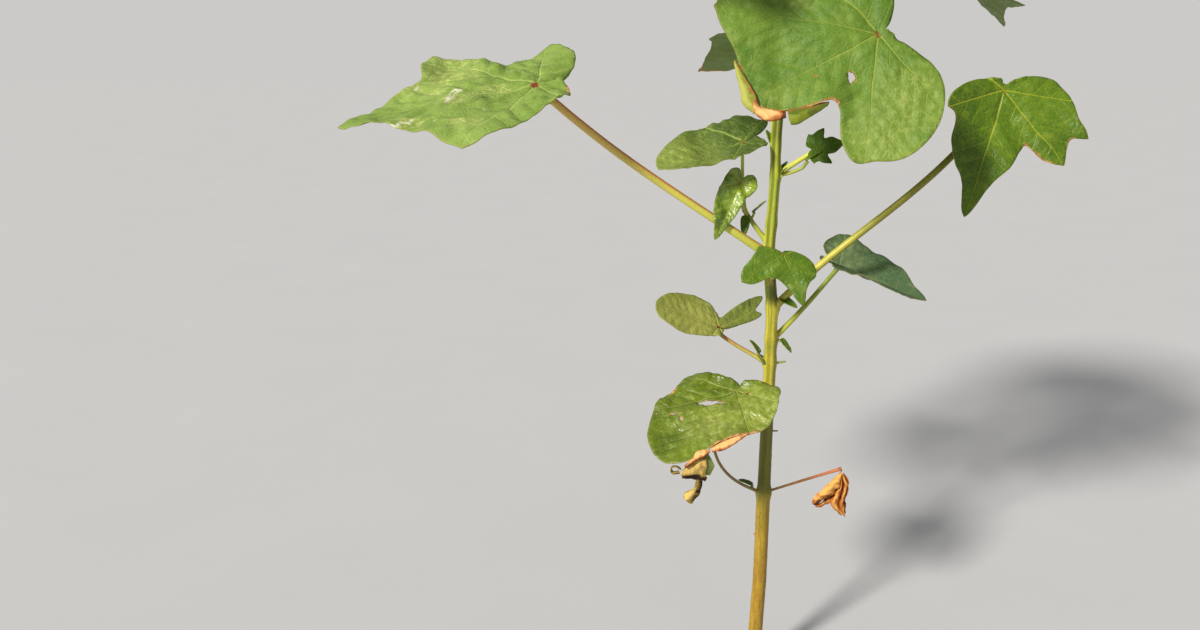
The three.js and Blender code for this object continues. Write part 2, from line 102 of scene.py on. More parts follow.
sun = bpy.data.objects.new("sun", bpy.data.lights.new("sun", "SUN"))
bpy.context.scene.collection.objects.link(sun)
sun.rotation_euler = Vector(SUN_FROM).to_track_quat("Z", "Y").to_euler()
sun.data.energy = SUN_STRENGTH
sun.data.angle = math.radians(SUN_SIZE)
sun.data.color = SUN_COLOUR
world = bpy.data.worlds.new("pale sky")
bpy.context.scene.world = world
world.use_nodes = True
sky = world.node_tree.nodes["Background"]
backdrop = world.node_tree.nodes.new("ShaderNodeBackground")
for shade, strength in ((sky, SKY_STRENGTH), (backdrop, BACKDROP_STRENGTH)):
    shade.inputs["Color"].default_value = SKY_COLOUR
    shade.inputs["Strength"].default_value = strength
seen = world.node_tree.nodes.new("ShaderNodeLightPath").outputs["Is Camera Ray"]
either = world.node_tree.nodes.new("ShaderNodeMixShader")
for socket, source in zip(either.inputs, (seen, sky.outputs[0], backdrop.outputs[0])):
    world.node_tree.links.new(source, socket)
world.node_tree.links.new(either.outputs[0], world.node_tree.nodes["World Output"].inputs["Surface"])
bpy.context.scene.view_settings.view_transform = "Standard"
print("light: sun", SUN_STRENGTH, "sky", SKY_STRENGTH)

# %% [markdown]
# ## Mixing colours with nodes
# A finish is a small net of nodes. This helper keeps the wiring short: a plain number or colour is typed
# into a socket, and a socket is wired to it.

# %% A helper for nodes
def srgb(red, green, blue):
    """A colour written as a screen shows it, from 0 to 255, as the linear colour that a shader takes."""
    parts = [c / 255 for c in (red, green, blue)]
    return tuple(c / 12.92 if c < 0.04045 else ((c + 0.055) / 1.055) ** 2.4 for c in parts) + (1.0,)


class Finish:
    """A material's node tree, with short calls for the nodes that the finishes use."""

    def __init__(self, name):
        self.material = bpy.data.materials.new(name)
        self.material.use_nodes = True
        self.tree = self.material.node_tree
        self.shader = self.tree.nodes["Principled BSDF"]
        self.output = self.tree.nodes["Material Output"]

    def put(self, socket, value):
        if isinstance(value, bpy.types.NodeSocket):
            self.tree.links.new(value, socket)
        else:
            socket.default_value = value

    def node(self, kind, inputs=(), **settings):
        node = self.tree.nodes.new("ShaderNode" + kind)
        for key, value in settings.items():
            setattr(node, key, value)
        for key, value in dict(inputs).items():
            self.put(node.inputs[key], value)
        return node

    def math(self, operation, *values):
        return self.node("Math", dict(enumerate(values)), operation=operation).outputs[0]

    def mix(self, share, first, second):
        """Two colours mixed. A Mix node has its colour sockets at 6 and 7, and its colour result at 2."""
        node = self.node("Mix", {"Factor": share, 6: first, 7: second}, data_type="RGBA")
        return node.outputs[2]

    def tint(self, colour, mask, share, other):
        """A colour moved towards another one where a mask lies, by a share."""
        return self.mix(self.math("MULTIPLY", mask, share), colour, other)

    def step(self, value, low, high):
        inputs = {"Value": value, "From Min": low, "From Max": high}
        return self.node("MapRange", inputs, interpolation_type="SMOOTHSTEP").outputs[0]

    def noise(self, place, scale, detail=3.0, roughness=0.55):
        inputs = {"Vector": place, "Scale": scale, "Detail": detail, "Roughness": roughness}
        return self.node("TexNoise", inputs).outputs["Fac"]

    def value(self, name):
        return self.node("Attribute", attribute_name=name).outputs["Fac"]

    def here(self, *stretch):
        place = self.node("TexCoord").outputs["Object"]
        if not stretch:
            return place
        return self.node("Mapping", {"Vector": place, "Scale": stretch}).outputs[0]


print("colour check: mid green is", [round(c, 3) for c in srgb(120, 147, 69)[:3]])

# %% [markdown]
# ## From numbers to a mesh
# Blades, folds and the stem are worked out with numpy as points and faces. One function turns them into a
# mesh in metres, with any values that its finish reads kept beside the points.

# %% A helper for meshes
def mesh_object(name, points, faces, material=None, values=()):
    """A new object from points in millimetres; values are named numbers, one for each point."""
    mesh = bpy.data.meshes.new(name)
    mesh.from_pydata((np.asarray(points) * MM).tolist(), [], faces)
    mesh.validate()
    for key, numbers in dict(values).items():
        attribute = mesh.attributes.new(key, "FLOAT", "POINT")
        attribute.data.foreach_set("value", np.asarray(numbers, np.float32))
    mesh.polygons.foreach_set("use_smooth", [True] * len(mesh.polygons))
    if material:
        mesh.materials.append(material)
    piece = bpy.data.objects.new(name, mesh)
    bpy.context.scene.collection.objects.link(piece)
    return piece


def waviness(points, length, seed):
    """Soft unevenness between about -1 and 1: a few plane waves of like length in seeded directions."""
    rng = np.random.default_rng(seed)
    points = np.asarray(points, float)
    total = np.zeros(len(points))
    count = 7
    for _ in range(count):
        way = rng.normal(size=points.shape[1])
        way *= 2 * math.pi / (length * rng.uniform(0.7, 1.5) * np.linalg.norm(way))
        total += np.sin(points @ way + rng.uniform(0, 2 * math.pi))
    return total / math.sqrt(count)


def smooth_step(value, low, high):
    t = np.clip((value - low) / (high - low), 0, 1)
    return t * t * (3 - 2 * t)


def spline(rows, count):
    """Rows stepped smoothly: a curve that passes through every row, along the first axis."""
    rows = np.asarray(rows, float)
    rows_and_ends = np.concatenate([2 * rows[:1] - rows[1:2], rows, 2 * rows[-1:] - rows[-2:-1]])
    t = np.linspace(0, len(rows) - 1, count)
    at = np.minimum(t.astype(int), len(rows) - 2)
    t = (t - at).reshape(-1, *[1] * (rows.ndim - 1))
    a, b, c, d = (rows_and_ends[at + k] for k in range(4))
    cubic = (3 * b - a - 3 * c + d) * t**3
    return 0.5 * (2 * b + (c - a) * t + (2 * a - 5 * b + 4 * c - d) * t**2 + cubic)


def finished(piece, node=None):
    """Rides a piece on the plant and hides the solid it stands for."""
    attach(piece, "root")
    if node:
        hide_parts(node)


print("a smooth step's height at its first quarter:", float(smooth_step(0.25, 0.0, 1.0)))

# %% [markdown]
# ## Floor
# A plain pale floor at ground level, as bright in this light as the sky behind it, so the plant stands
# alone.

# %% Floor
FLOOR_HALF = 6000.0
floor_finish = Finish("floor")
floor_grain = floor_finish.noise(floor_finish.here(), 9.0, 4.0)
floor_colour = floor_finish.mix(floor_grain, srgb(189, 191, 195), srgb(195, 196, 200))
floor_finish.put(floor_finish.shader.inputs["Base Color"], floor_colour)
floor_finish.shader.inputs["Roughness"].default_value = 0.9
floor_corners = [(sx * FLOOR_HALF, sy * FLOOR_HALF, 0) for sx, sy in ((-1, -1), (1, -1), (1, 1), (-1, 1))]
floor = mesh_object("floor", floor_corners, [(0, 1, 2, 3)], floor_finish.material)
print("floor:", 2 * FLOOR_HALF * MM, "m across")

# %% [markdown]
# ## The stem's rule
# The solid's own rule is written again here: a line that leans a little at each leaf joint, a radius that
# narrows upwards, a flare at the ground and a swelling at each joint.

# %% The stem's line and radius
STEM_TOP = 424
GROUND_RADIUS = 4.9
FLARE_HEIGHT = 14
JOINT_SWELLING = 0.05
JOINT_HALF_LENGTH = 5
TIP_LENGTH = 1.6
STEM_FOOT = [(0, 0, 0, 4.0), (60, 1.4, 0, 3.75)]
STEM_JOINTS = [
    (113, 1.0, 0.0, 3.5), (188, 0.4, 0.0, 3.05), (201, 0.2, 0.0, 3.0), (218, 0.0, 0.0, 2.95),
    (246, -3.2, 0.0, 2.8), (262, -2.6, 0.2, 2.7), (286, -2.0, 0.0, 2.6), (301, -2.6, 0.4, 2.5),
    (318, -2.2, -0.2, 2.4), (333, -1.2, 0.6, 2.25), (346, -2.4, 0.2, 2.1), (358, -1.0, -0.4, 1.95),
    (369, -2.0, 0.8, 1.75), (379, -2.6, -0.2, 1.6), (388, -1.4, 0.2, 1.45), (397, -2.4, 0.8, 1.3),
    (405, -1.4, 0.0, 1.15), (412, -1.8, 0.8, 1.0), (418, -1.6, 0.8, 0.9),
]
STEM_LINE = np.array([*STEM_FOOT, *STEM_JOINTS, (STEM_TOP, -1.8, 1.2, 0.7)], float)
JOINT_HEIGHTS = np.array([joint[0] for joint in STEM_JOINTS], float)


def stem_middle(height):
    x, y = (np.interp(height, STEM_LINE[:, 0], STEM_LINE[:, k]) for k in (1, 2))
    return np.stack([x, y, np.asarray(height, float)], -1)


def stem_radius(height):
    height = np.asarray(height, float)
    radius = np.interp(height, STEM_LINE[:, 0], STEM_LINE[:, 3])
    flare = (GROUND_RADIUS - STEM_FOOT[0][3]) * np.clip(1 - height / FLARE_HEIGHT, 0, 1) ** 2
    nearest = np.abs(height[..., None] - JOINT_HEIGHTS).min(-1)
    swelling = JOINT_SWELLING * radius * np.clip(1 - nearest / JOINT_HALF_LENGTH, 0, 1)
    return radius * (1 + swelling) + flare


print("stem:", STEM_TOP, "mm tall,", 2 * GROUND_RADIUS, "mm thick at the ground")

# %% [markdown]
# ## The leaves' rule
# Each leaf has a stalk that climbs away from the stem and a blade that is drawn flat, from the point
# where the stalk meets it, and then folded, curled and waved. An outline is the distance of the edge from
# that point, by angle from the middle lobe. Its main veins run out into the lobes, and its tips are the
# lobes' sharp ends.

# %% Leaf outlines
OUTLINES = {
    "fiveLobed": [
        (0, 1.0), (9, 0.9), (22, 0.74), (33, 0.7), (46, 0.82), (53, 0.88), (61, 0.79), (76, 0.64),
        (90, 0.61), (104, 0.65), (118, 0.59), (142, 0.48), (164, 0.34),
    ],
    "threeLobed": [
        (0, 1.0), (10, 0.92), (24, 0.8), (37, 0.78), (50, 0.87), (57, 0.9), (68, 0.8), (92, 0.66),
        (118, 0.62), (145, 0.52), (166, 0.34),
    ],
    "deepLobed": [
        (0, 1.0), (6, 0.86), (14, 0.75), (24, 0.65), (37, 0.46), (46, 0.5), (57, 0.72), (68, 0.64),
        (90, 0.46), (104, 0.5), (125, 0.4), (158, 0.26),
    ],
    "narrow": [
        (0, 1.0), (8, 0.88), (20, 0.76), (36, 0.62), (56, 0.52), (80, 0.46), (112, 0.44), (145, 0.3),
    ],
    "slim": [(0, 1.0), (10, 0.82), (24, 0.56), (45, 0.36), (80, 0.24), (130, 0.16)],
    "seedLeaf": [
        (-158, 0.12), (-130, 0.2), (-112, 0.34), (-102, 0.5), (-88, 0.61), (-71, 0.62), (-57, 0.76),
        (-46, 0.85), (-35, 0.95), (-26, 1.02), (-16, 1.07), (-6, 1.06), (1, 0.98), (6, 0.86), (12, 0.78),
        (24, 0.67), (38, 0.61), (55, 0.58), (73, 0.51), (96, 0.44), (112, 0.42), (127, 0.34),
        (140, 0.22), (158, 0.12),
    ],
    "frontLeaf": [
        (-168, 0.12), (-154, 0.22), (-142, 0.36), (-124, 0.7), (-100, 0.95), (-70, 0.98), (-46, 1.16),
        (-27, 1.02), (-3, 1.01), (12, 0.76), (22, 0.6), (30, 0.64), (37, 0.84), (43, 0.95), (53, 0.94),
        (64, 0.94), (76, 0.87), (92, 0.72), (107, 0.53), (123, 0.22), (150, 0.09),
    ],
    "leftLeaf": [
        (-152, 0.24), (-128, 0.58), (-112, 0.74), (-88, 0.54), (-66, 0.88), (-42, 0.7), (-14, 0.86),
        (0, 1.0), (14, 0.88), (28, 0.8), (48, 0.78), (75, 0.46), (120, 0.24), (155, 0.14),
    ],
    "oneSided": [
        (-150, 0.09), (-134, 0.26), (-126, 0.48), (-112, 0.55), (-99, 0.66), (-90, 0.82), (-76, 0.94),
        (-66, 0.84), (-56, 0.58), (-42, 0.5), (-28, 0.51), (-11, 0.7), (0, 1.0), (10, 0.8), (22, 0.71),
        (34, 0.72), (48, 0.64), (61, 0.48), (80, 0.22), (120, 0.1), (150, 0.07),
    ],
    "shootLeaf": [
        (-168, 0.28), (-158, 0.48), (-141, 0.45), (-114, 0.42), (-80, 0.4), (-54, 0.48), (-44, 0.58),
        (-30, 0.7), (-17, 0.86), (-4, 1.0), (7, 1.04), (15, 1.0), (23, 0.78), (32, 0.6), (48, 0.5),
        (75, 0.4), (110, 0.3), (145, 0.2),
    ],
    "backLobed": [
        (-162, 0.12), (-150, 0.38), (-141, 0.86), (-134, 0.8), (-126, 1.08), (-117, 0.66), (-106, 0.32),
        (-88, 0.22), (-66, 0.34), (-50, 0.47), (-32, 0.7), (-13, 0.94), (0, 1.04), (12, 1.03),
        (22, 0.94), (31, 0.78), (41, 0.5), (60, 0.27), (100, 0.19), (150, 0.09),
    ],
    "hangingLeaf": [
        (-150, 0.07), (-111, 0.13), (-86, 0.25), (-73, 0.36), (-62, 0.47), (-54, 0.51), (-45, 0.47),
        (-37, 0.49), (-27, 0.59), (-15, 0.69), (-5, 0.8), (2, 0.99), (9, 0.77), (22, 0.59), (34, 0.48),
        (42, 0.46), (49, 0.62), (57, 0.69), (66, 0.63), (72, 0.61), (77, 0.67), (86, 0.57), (95, 0.52),
        (107, 0.46), (120, 0.39), (132, 0.29), (146, 0.16), (162, 0.09),
    ],
    "crumpled": [
        (-155, 0.2), (-125, 0.26), (-95, 0.28), (-64, 0.33), (-34, 0.5), (-18, 0.7), (-8, 0.84),
        (0, 1.0), (6, 0.8), (14, 0.54), (28, 0.34), (60, 0.27), (105, 0.27), (140, 0.24), (160, 0.16),
    ],
}
print("outlines:", len(OUTLINES), "kinds, with", sum(len(rows) for rows in OUTLINES.values()), "points")

# %% Main veins and sharp tips
# The angles of the five main veins, and of the lobes that end in a sharp tip.
VEINS = {
    "fiveLobed": (-104, -53, 0, 53, 104), "threeLobed": (-100, -57, 0, 57, 100),
    "deepLobed": (-104, -57, 0, 57, 104), "narrow": (-100, -50, 0, 50, 100), "slim": (-90, -40, 0, 40, 90),
    "seedLeaf": (-92, -48, -8, 40, 88), "frontLeaf": (-82, -47, -7, 49, 92),
    "leftLeaf": (-112, -66, -6, 47, 95), "oneSided": (-126, -76, 0, 36, 90),
    "shootLeaf": (-150, -60, 3, 45, 100), "backLobed": (-134, -60, 3, 70, 140),
    "hangingLeaf": (-100, -52, 2, 57, 100), "crumpled": (-110, -50, 0, 40, 100),
}
TIPS = {
    "fiveLobed": (-53, 0, 53), "threeLobed": (-57, 0, 57), "deepLobed": (-104, -57, 0, 57, 104),
    "narrow": (0,), "slim": (0,), "seedLeaf": (), "frontLeaf": (-46,), "leftLeaf": (-112, -66, 0, 48),
    "oneSided": (-76, 0), "shootLeaf": (), "backLobed": (), "hangingLeaf": (2, 57, 77), "crumpled": (0,),
}
print("sharp tips:", sum(len(tips) for tips in TIPS.values()))

# %% The edge's distance
NOTCH_REACH = 0.05
TIP_REACH = 0.035
TIP_SPREAD = 2.6


def full_outline(name):
    """The outline's angles and reaches, on both sides, with the notch where the stalk enters."""
    rows = OUTLINES[name]
    mirrored = [] if rows[0][0] < 0 else [(-angle, reach) for angle, reach in rows[:0:-1]]
    rows = [(-180, NOTCH_REACH), *mirrored, *rows, (180, NOTCH_REACH)]
    return np.array(rows, float)


def reach_at(name, angle):
    """The edge's distance by angle: a smooth curve through the points, drawn out at each sharp tip."""
    rows = full_outline(name)
    angles, reaches = rows[:, 0], rows[:, 1]
    slopes = np.gradient(reaches, angles)
    angle = np.asarray(angle, float)
    at = np.clip(np.searchsorted(angles, angle, side="right") - 1, 0, len(angles) - 2)
    gap = angles[at + 1] - angles[at]
    t = (angle - angles[at]) / gap
    reach = (2 * t**3 - 3 * t**2 + 1) * reaches[at] + (t**3 - 2 * t**2 + t) * gap * slopes[at]
    reach += (3 * t**2 - 2 * t**3) * reaches[at + 1] + (t**3 - t**2) * gap * slopes[at + 1]
    for tip in TIPS[name]:
        reach += TIP_REACH * np.exp(-np.abs(angle - tip) / TIP_SPREAD)
    return np.maximum(reach, NOTCH_REACH)


print("edge of a five-lobed leaf at its middle lobe:", round(float(reach_at("fiveLobed", 0)), 3))

# %% [markdown]
# ## The leaves
# One row for each leaf, roughly from the ground up, with the names and sizes of the solids. "at" is the
# height on the stem and "around" the direction from it. The stalk climbs by "rise" degrees at its foot
# and "lift" at its head, and "sag" flattens it half-way. "stalk" is its length and "thick" its radius.
# "size" is the length of the middle lobe, which points to "head" and rises by "dip" degrees, and "bank"
# turns the blade about it. "fold", "curl" and "wave" bend the blade, and "pucker" is how strongly it is
# quilted between its veins. "look" is the finish of the blade and "skin" that of the stalk.

# %% The table of leaves
LEAF_COLUMNS = ("name at around rise lift sag stalk thick outline size head dip bank fold curl wave "
                "look skin pucker").split()
LEAF_ROWS = [
    ("seed_leaf_left", 113, 212, 26, 158, 30, 87, 0.85, "seedLeaf", 53, 232, -24, 0, 0, 0, 0.03,
     "seed", "dull", 1.5),
    ("seed_leaf_right", 113, 3, 18, 17, 0, 44, 0.95, "withered", 25, 195, -66, 60, 0.3, 0, 0.1,
     "withered", "dry", 1.0),
    ("leaf_01_low_left", 187, 168, 31, 38, 0, 33, 1.2, "backLobed", 35, 185, 24, 34, 0.1, 0, 0.03,
     "olive", "rosy", 0.9),
    ("leaf_02_low_right", 200, 25, 36, 47, 0, 55, 1.4, "narrow", 46, -16, -20, -10, 0.38, 0, 0.03,
     "bluish", "green", 0.6),
    ("leaf_03_hanging_right", 217, 356, 50, 63, 15, 152, 1.9, "hangingLeaf", 62, 222, -62, 50, 0.15, 0, 0.03,
     "deep", "olive", 0.7),
    ("leaf_04_young_front", 232, 280, 42, 52, 0, 25, 0.8, "oneSided", 26, 311, -60, -35, 0, 0, 0.04,
     "young", "green", 0.8),
    ("leaf_05_big_left", 246, 194, 34, 43, 4, 145, 2.2, "leftLeaf", 86, 200, -6, 11, 0, 0.08, 0.03,
     "pale", "blushed", 1.2),
    ("leaf_08_back", 262, 79, 54, 38, 0, 120, 1.8, "fiveLobed", 64, 84, -22, 6, 0.06, 0.08, 0.03,
     "grown", "green", 1.0),
    ("leaf_09_young_right", 286, 0, 38, 32, 0, 23, 1.3, "deepLobed", 15, -5, 12, -60, 0.1, 0, 0.04,
     "dark", "bright", 0.8),
    ("leaf_10_back", 301, 90, 62, 48, 0, 112, 1.8, "threeLobed", 66, 92, -14, -6, 0.08, 0.1, 0.03,
     "pale", "blushed", 1.0),
    ("leaf_11_back_left", 333, 160, 52, 38, 0, 98, 1.75, "fiveLobed", 70, 158, -12, 8, 0.08, 0.1, 0.03,
     "grown", "green", 1.0),
    ("leaf_12_big_front", 318, 302, 33, 29, 0, 69, 1.7, "frontLeaf", 59, 191, -32, 60, 0, 0, 0.02,
     "grown", "green", 0.95),
    ("leaf_13_right", 346, 25, 36, 22, 0, 92, 1.65, "threeLobed", 64, 18, -26, -18, 0.06, 0.08, 0.03,
     "grown", "blushed", 1.0),
    ("leaf_14_left", 358, 214, 46, 34, 0, 86, 1.55, "fiveLobed", 62, 218, -16, 4, 0.1, 0.1, 0.03,
     "grown", "green", 1.0),
    ("leaf_15_front_right", 369, 338, 44, 30, 0, 76, 1.45, "fiveLobed", 58, 332, -12, -6, 0.1, 0.1, 0.03,
     "pale", "green", 0.9),
    ("leaf_16_back", 379, 96, 50, 36, 0, 66, 1.3, "fiveLobed", 52, 92, -14, 4, 0.12, 0.1, 0.03,
     "grown", "green", 0.9),
    ("leaf_17_front_left", 388, 246, 52, 38, 0, 54, 1.15, "fiveLobed", 45, 250, -10, -4, 0.12, 0.08, 0.03,
     "grown", "green", 0.9),
    ("leaf_18_right", 397, 24, 58, 46, 0, 42, 1.0, "fiveLobed", 37, 20, -8, 2, 0.14, 0.06, 0.03,
     "young", "green", 0.9),
    ("leaf_19_back_left", 405, 158, 62, 52, 0, 31, 0.9, "fiveLobed", 29, 160, 0, 0, 0.18, 0.04, 0.03,
     "young", "green", 0.9),
    ("leaf_20_front", 412, 292, 66, 58, 0, 22, 0.8, "deepLobed", 22, 288, 10, 0, 0.22, 0, 0.03,
     "young", "green", 0.9),
]
LEAVES = [dict(zip(LEAF_COLUMNS, row)) for row in LEAF_ROWS]
print("leaves:", len(LEAVES), "with middle lobes of", sorted(leaf["size"] for leaf in LEAVES), "mm")

# %% The stalk's line and the blade's directions
def stalk_line(leaf, start, step=1.5):
    """Points along a stalk's middle: it climbs from "rise" to "lift" degrees, flatter half-way by "sag"."""
    count = max(8, round(leaf["stalk"] / step))
    share = (np.arange(count) + 0.5) / count
    climb = leaf["rise"] + (leaf["lift"] - leaf["rise"]) * share - leaf["sag"] * np.sin(math.pi * share)
    climb, around = np.radians(climb), math.radians(leaf["around"])
    level = np.cos(climb)
    steps = np.stack([level * math.cos(around), level * math.sin(around), np.sin(climb)], 1)
    return np.vstack([start, start + np.cumsum(steps, 0) * leaf["stalk"] / count])


def blade_axes(leaf):
    """The blade's directions: along its middle lobe, to its left side and out of its upper face."""
    head, dip, bank = (math.radians(leaf[key]) for key in ("head", "dip", "bank"))
    along = np.array([math.cos(dip) * math.cos(head), math.cos(dip) * math.sin(head), math.sin(dip)])
    level = np.array([-math.sin(head), math.cos(head), 0.0])
    out = np.cross(along, level) * math.cos(bank) + level * math.sin(bank)
    return along, np.cross(out, along), out


HEAD_RADIUS_SHARE = 0.8
GROWN_SIZE = 45
# A stalk's head is led under its blade over this length, in millimetres. One that nearly grazes the
# blade needs a longer stretch and a dip.
LED_LENGTH = 9.0
LED_LENGTH_GRAZING = 14.0
DIP_GRAZING = 2.0


def led_under(leaf, line):
    """The stalk's line with its last stretch led to just under the blade. One that grazes it hangs lower."""
    out = blade_axes(leaf)[2]
    way = (line[-1] - line[-2]) / np.linalg.norm(line[-1] - line[-2])
    grazing = 1 - abs(way @ out)
    radius = HEAD_RADIUS_SHARE * leaf["thick"]
    depth = 0.5 + 0.4 * min(1.0, leaf["size"] / GROWN_SIZE)
    depth += max(0.0, radius * math.sqrt(1 - (way @ out) ** 2) - 0.3)
    left = np.linalg.norm(line - line[-1], axis=1)
    led = (1 - smooth_step(left, 0.0, LED_LENGTH + LED_LENGTH_GRAZING * grazing)) * depth
    led += DIP_GRAZING * grazing**2 * smooth_step(left, 0.0, 4.0) * (1 - smooth_step(left, 12.0, 32.0))
    return line - np.outer(led, out)


longest = max(LEAVES, key=lambda leaf: leaf["stalk"])
print("longest stalk:", longest["name"], longest["stalk"], "mm")

# %% [markdown]
# ## Filling an outline with a net
# A blade needs the same fineness everywhere, a true edge and true holes. So the edge is stepped off
# evenly, a honeycomb of points fills the inside, more points lie along the main veins to keep them crisp,
# and a Delaunay net joins them all. A grid in rings would be too coarse at the edge and crowded in the
# middle.

# %% The edge in even steps
VEIN_STEP = 52
CANON = np.array([-180, -2 * VEIN_STEP, -VEIN_STEP, 0, VEIN_STEP, 2 * VEIN_STEP, 180], float)


def vein_angle(name, angle):
    """Turns an angle on the blade so that the five main veins fall at even steps of 52 degrees."""
    return np.interp(angle, [-180, *VEINS[name], 180], CANON)


def even_edge(name, size, spacing):
    """Points stepped off evenly along the edge, in millimetres, with one exactly at each sharp tip."""
    angle = np.linspace(-180, 180, 2881)
    reach = reach_at(name, angle) * size
    points = np.stack([reach * np.cos(np.radians(angle)), reach * np.sin(np.radians(angle))], 1)
    length = np.concatenate([[0], np.cumsum(np.linalg.norm(np.diff(points, axis=0), axis=1))])
    count = max(24, int(length[-1] / spacing))
    picked = np.searchsorted(length, np.linspace(0, length[-1], count, endpoint=False))
    for tip in TIPS[name]:
        at = np.argmin(np.abs(angle - tip))
        picked[np.argmin(np.abs(picked - at))] = at
    return points[np.unique(picked)]


print("steps of 2 mm round a leaf of 60 mm:", len(even_edge("fiveLobed", 60, 2.0)))

# %% Holes in the net
def ragged_loop(hole, size, spacing):
    """The edge of a hole: an ellipse with torn, uneven sides. Sizes are shares of the leaf's size."""
    x, y, long, wide, turn, seed = hole
    count = max(9, int(2 * math.pi * math.sqrt(long * wide) * size / spacing))
    t = np.linspace(0, 2 * math.pi, count, endpoint=False)
    rng = np.random.default_rng(seed)
    tear = 1 + 0.16 * np.sin(3 * t + rng.uniform(0, 6)) + 0.12 * np.sin(5 * t + rng.uniform(0, 6))
    a, b = long * tear * np.cos(t), wide * tear * np.sin(t)
    cos, sin = math.cos(math.radians(turn)), math.sin(math.radians(turn))
    return size * np.stack([x + a * cos - b * sin, y + a * sin + b * cos], 1)


def inside(points, loop):
    """Which points lie inside a closed loop."""
    x, y = points[:, 0][:, None], points[:, 1][:, None]
    x0, y0 = loop[:, 0], loop[:, 1]
    x1, y1 = np.roll(x0, -1), np.roll(y0, -1)
    with np.errstate(divide="ignore", invalid="ignore"):
        crossing = ((y0 > y) != (y1 > y)) & (x < (x1 - x0) * (y - y0) / (y1 - y0) + x0)
    return crossing.sum(1) % 2 == 1


square = np.array([(0, 0), (1, 0), (1, 1), (0, 1)], float)
print("inside a square:", inside(np.array([(0.5, 0.5), (1.5, 0.5)]), square).tolist())

# %% The net
def net_of(name, size, spacing, holes=(), trails=()):
    """Points and triangles that fill an outline on the leaf's flat plane, in millimetres."""
    edge = even_edge(name, size, spacing)
    half = 1.5 * size
    rows = np.arange(-half, half, spacing * math.sqrt(3) / 2)
    columns = np.arange(-half, half, spacing)
    grid = np.array([(x + 0.5 * spacing * (row % 2), y) for row, y in enumerate(rows) for x in columns])
    grid = grid[inside(grid, edge)]
    loops = [ragged_loop(hole, size, 0.7 * spacing) for hole in holes]
    lines = []
    for angle in VEINS[name]:
        far = 0.96 * size * float(reach_at(name, angle))
        along = np.arange(spacing, far, spacing)[:, None]
        lines.append(along * [math.cos(math.radians(angle)), math.sin(math.radians(angle))])
    lines += [trail_points(trail, size) for trail in trails]
    fixed = np.vstack([edge, *loops])
    extra = np.vstack([np.zeros((1, 2)), *lines])
    extra = extra[np.linalg.norm(extra[:, None] - fixed, axis=2).min(1) > 0.5 * spacing]
    kept = np.vstack([fixed, extra])
    grid = grid[np.linalg.norm(grid[:, None] - kept, axis=2).min(1) > 0.55 * spacing]
    points = np.vstack([kept, grid])
    edges, first = [], 0
    for loop in [edge, *loops]:
        edges += [(first + i, first + (i + 1) % len(loop)) for i in range(len(loop))]
        first += len(loop)
    made = delaunay_2d_cdt([Vector(p) for p in points], edges, [], 1, 1e-5)
    flat, triangles = np.array([tuple(v) for v in made[0]]), np.array(made[2])
    middles = flat[triangles].mean(1)
    kept_faces = np.ones(len(triangles), bool)
    for loop in loops:
        kept_faces &= ~inside(middles, loop)
    triangles = triangles[kept_faces]
    a, b, c = (flat[triangles[:, k]] for k in range(3))
    turned = (b[:, 0] - a[:, 0]) * (c[:, 1] - a[:, 1]) - (b[:, 1] - a[:, 1]) * (c[:, 0] - a[:, 0]) < 0
    triangles[turned] = triangles[turned][:, ::-1]
    used = np.unique(triangles)
    renumber = np.zeros(len(flat), int)
    renumber[used] = np.arange(len(used))
    return flat[used], renumber[triangles]


print("triangles in a coarse net of 10 mm:", len(net_of("fiveLobed", 60, 10.0)[1]))

# %% [markdown]
# ## Marks and damage
# The photograph's leaves are worn: torn holes with brown rims, pale patches, the white winding trail of a
# leaf miner, and scorched margins. On a few leaves the pale patches are not wear but painted light: the lit
# part of a blade, or glints. Each mark has its place on the leaf's own plane, as shares of the leaf's size,
# so it stays put when the leaf is posed.

# %% Marks on the leaves
# A hole is its middle, half length, half width, turn in degrees and seed.
HOLES = {
    "seed_leaf_left": [(0.25, -0.17, 0.125, 0.038, 113, 3), (0.0, 0.12, 0.012, 0.01, 0, 4),
                       (0.54, -0.3, 0.02, 0.012, 100, 5), (0.52, -0.41, 0.045, 0.008, 115, 10)],
    "leaf_12_big_front": [(0.34, 0.15, 0.04, 0.024, 60, 6)],
    "leaf_10_back": [(0.52, -0.3, 0.03, 0.02, 20, 7)],
    "leaf_14_left": [(0.4, 0.34, 0.022, 0.018, 80, 8), (0.62, -0.12, 0.016, 0.012, 0, 9)],
}
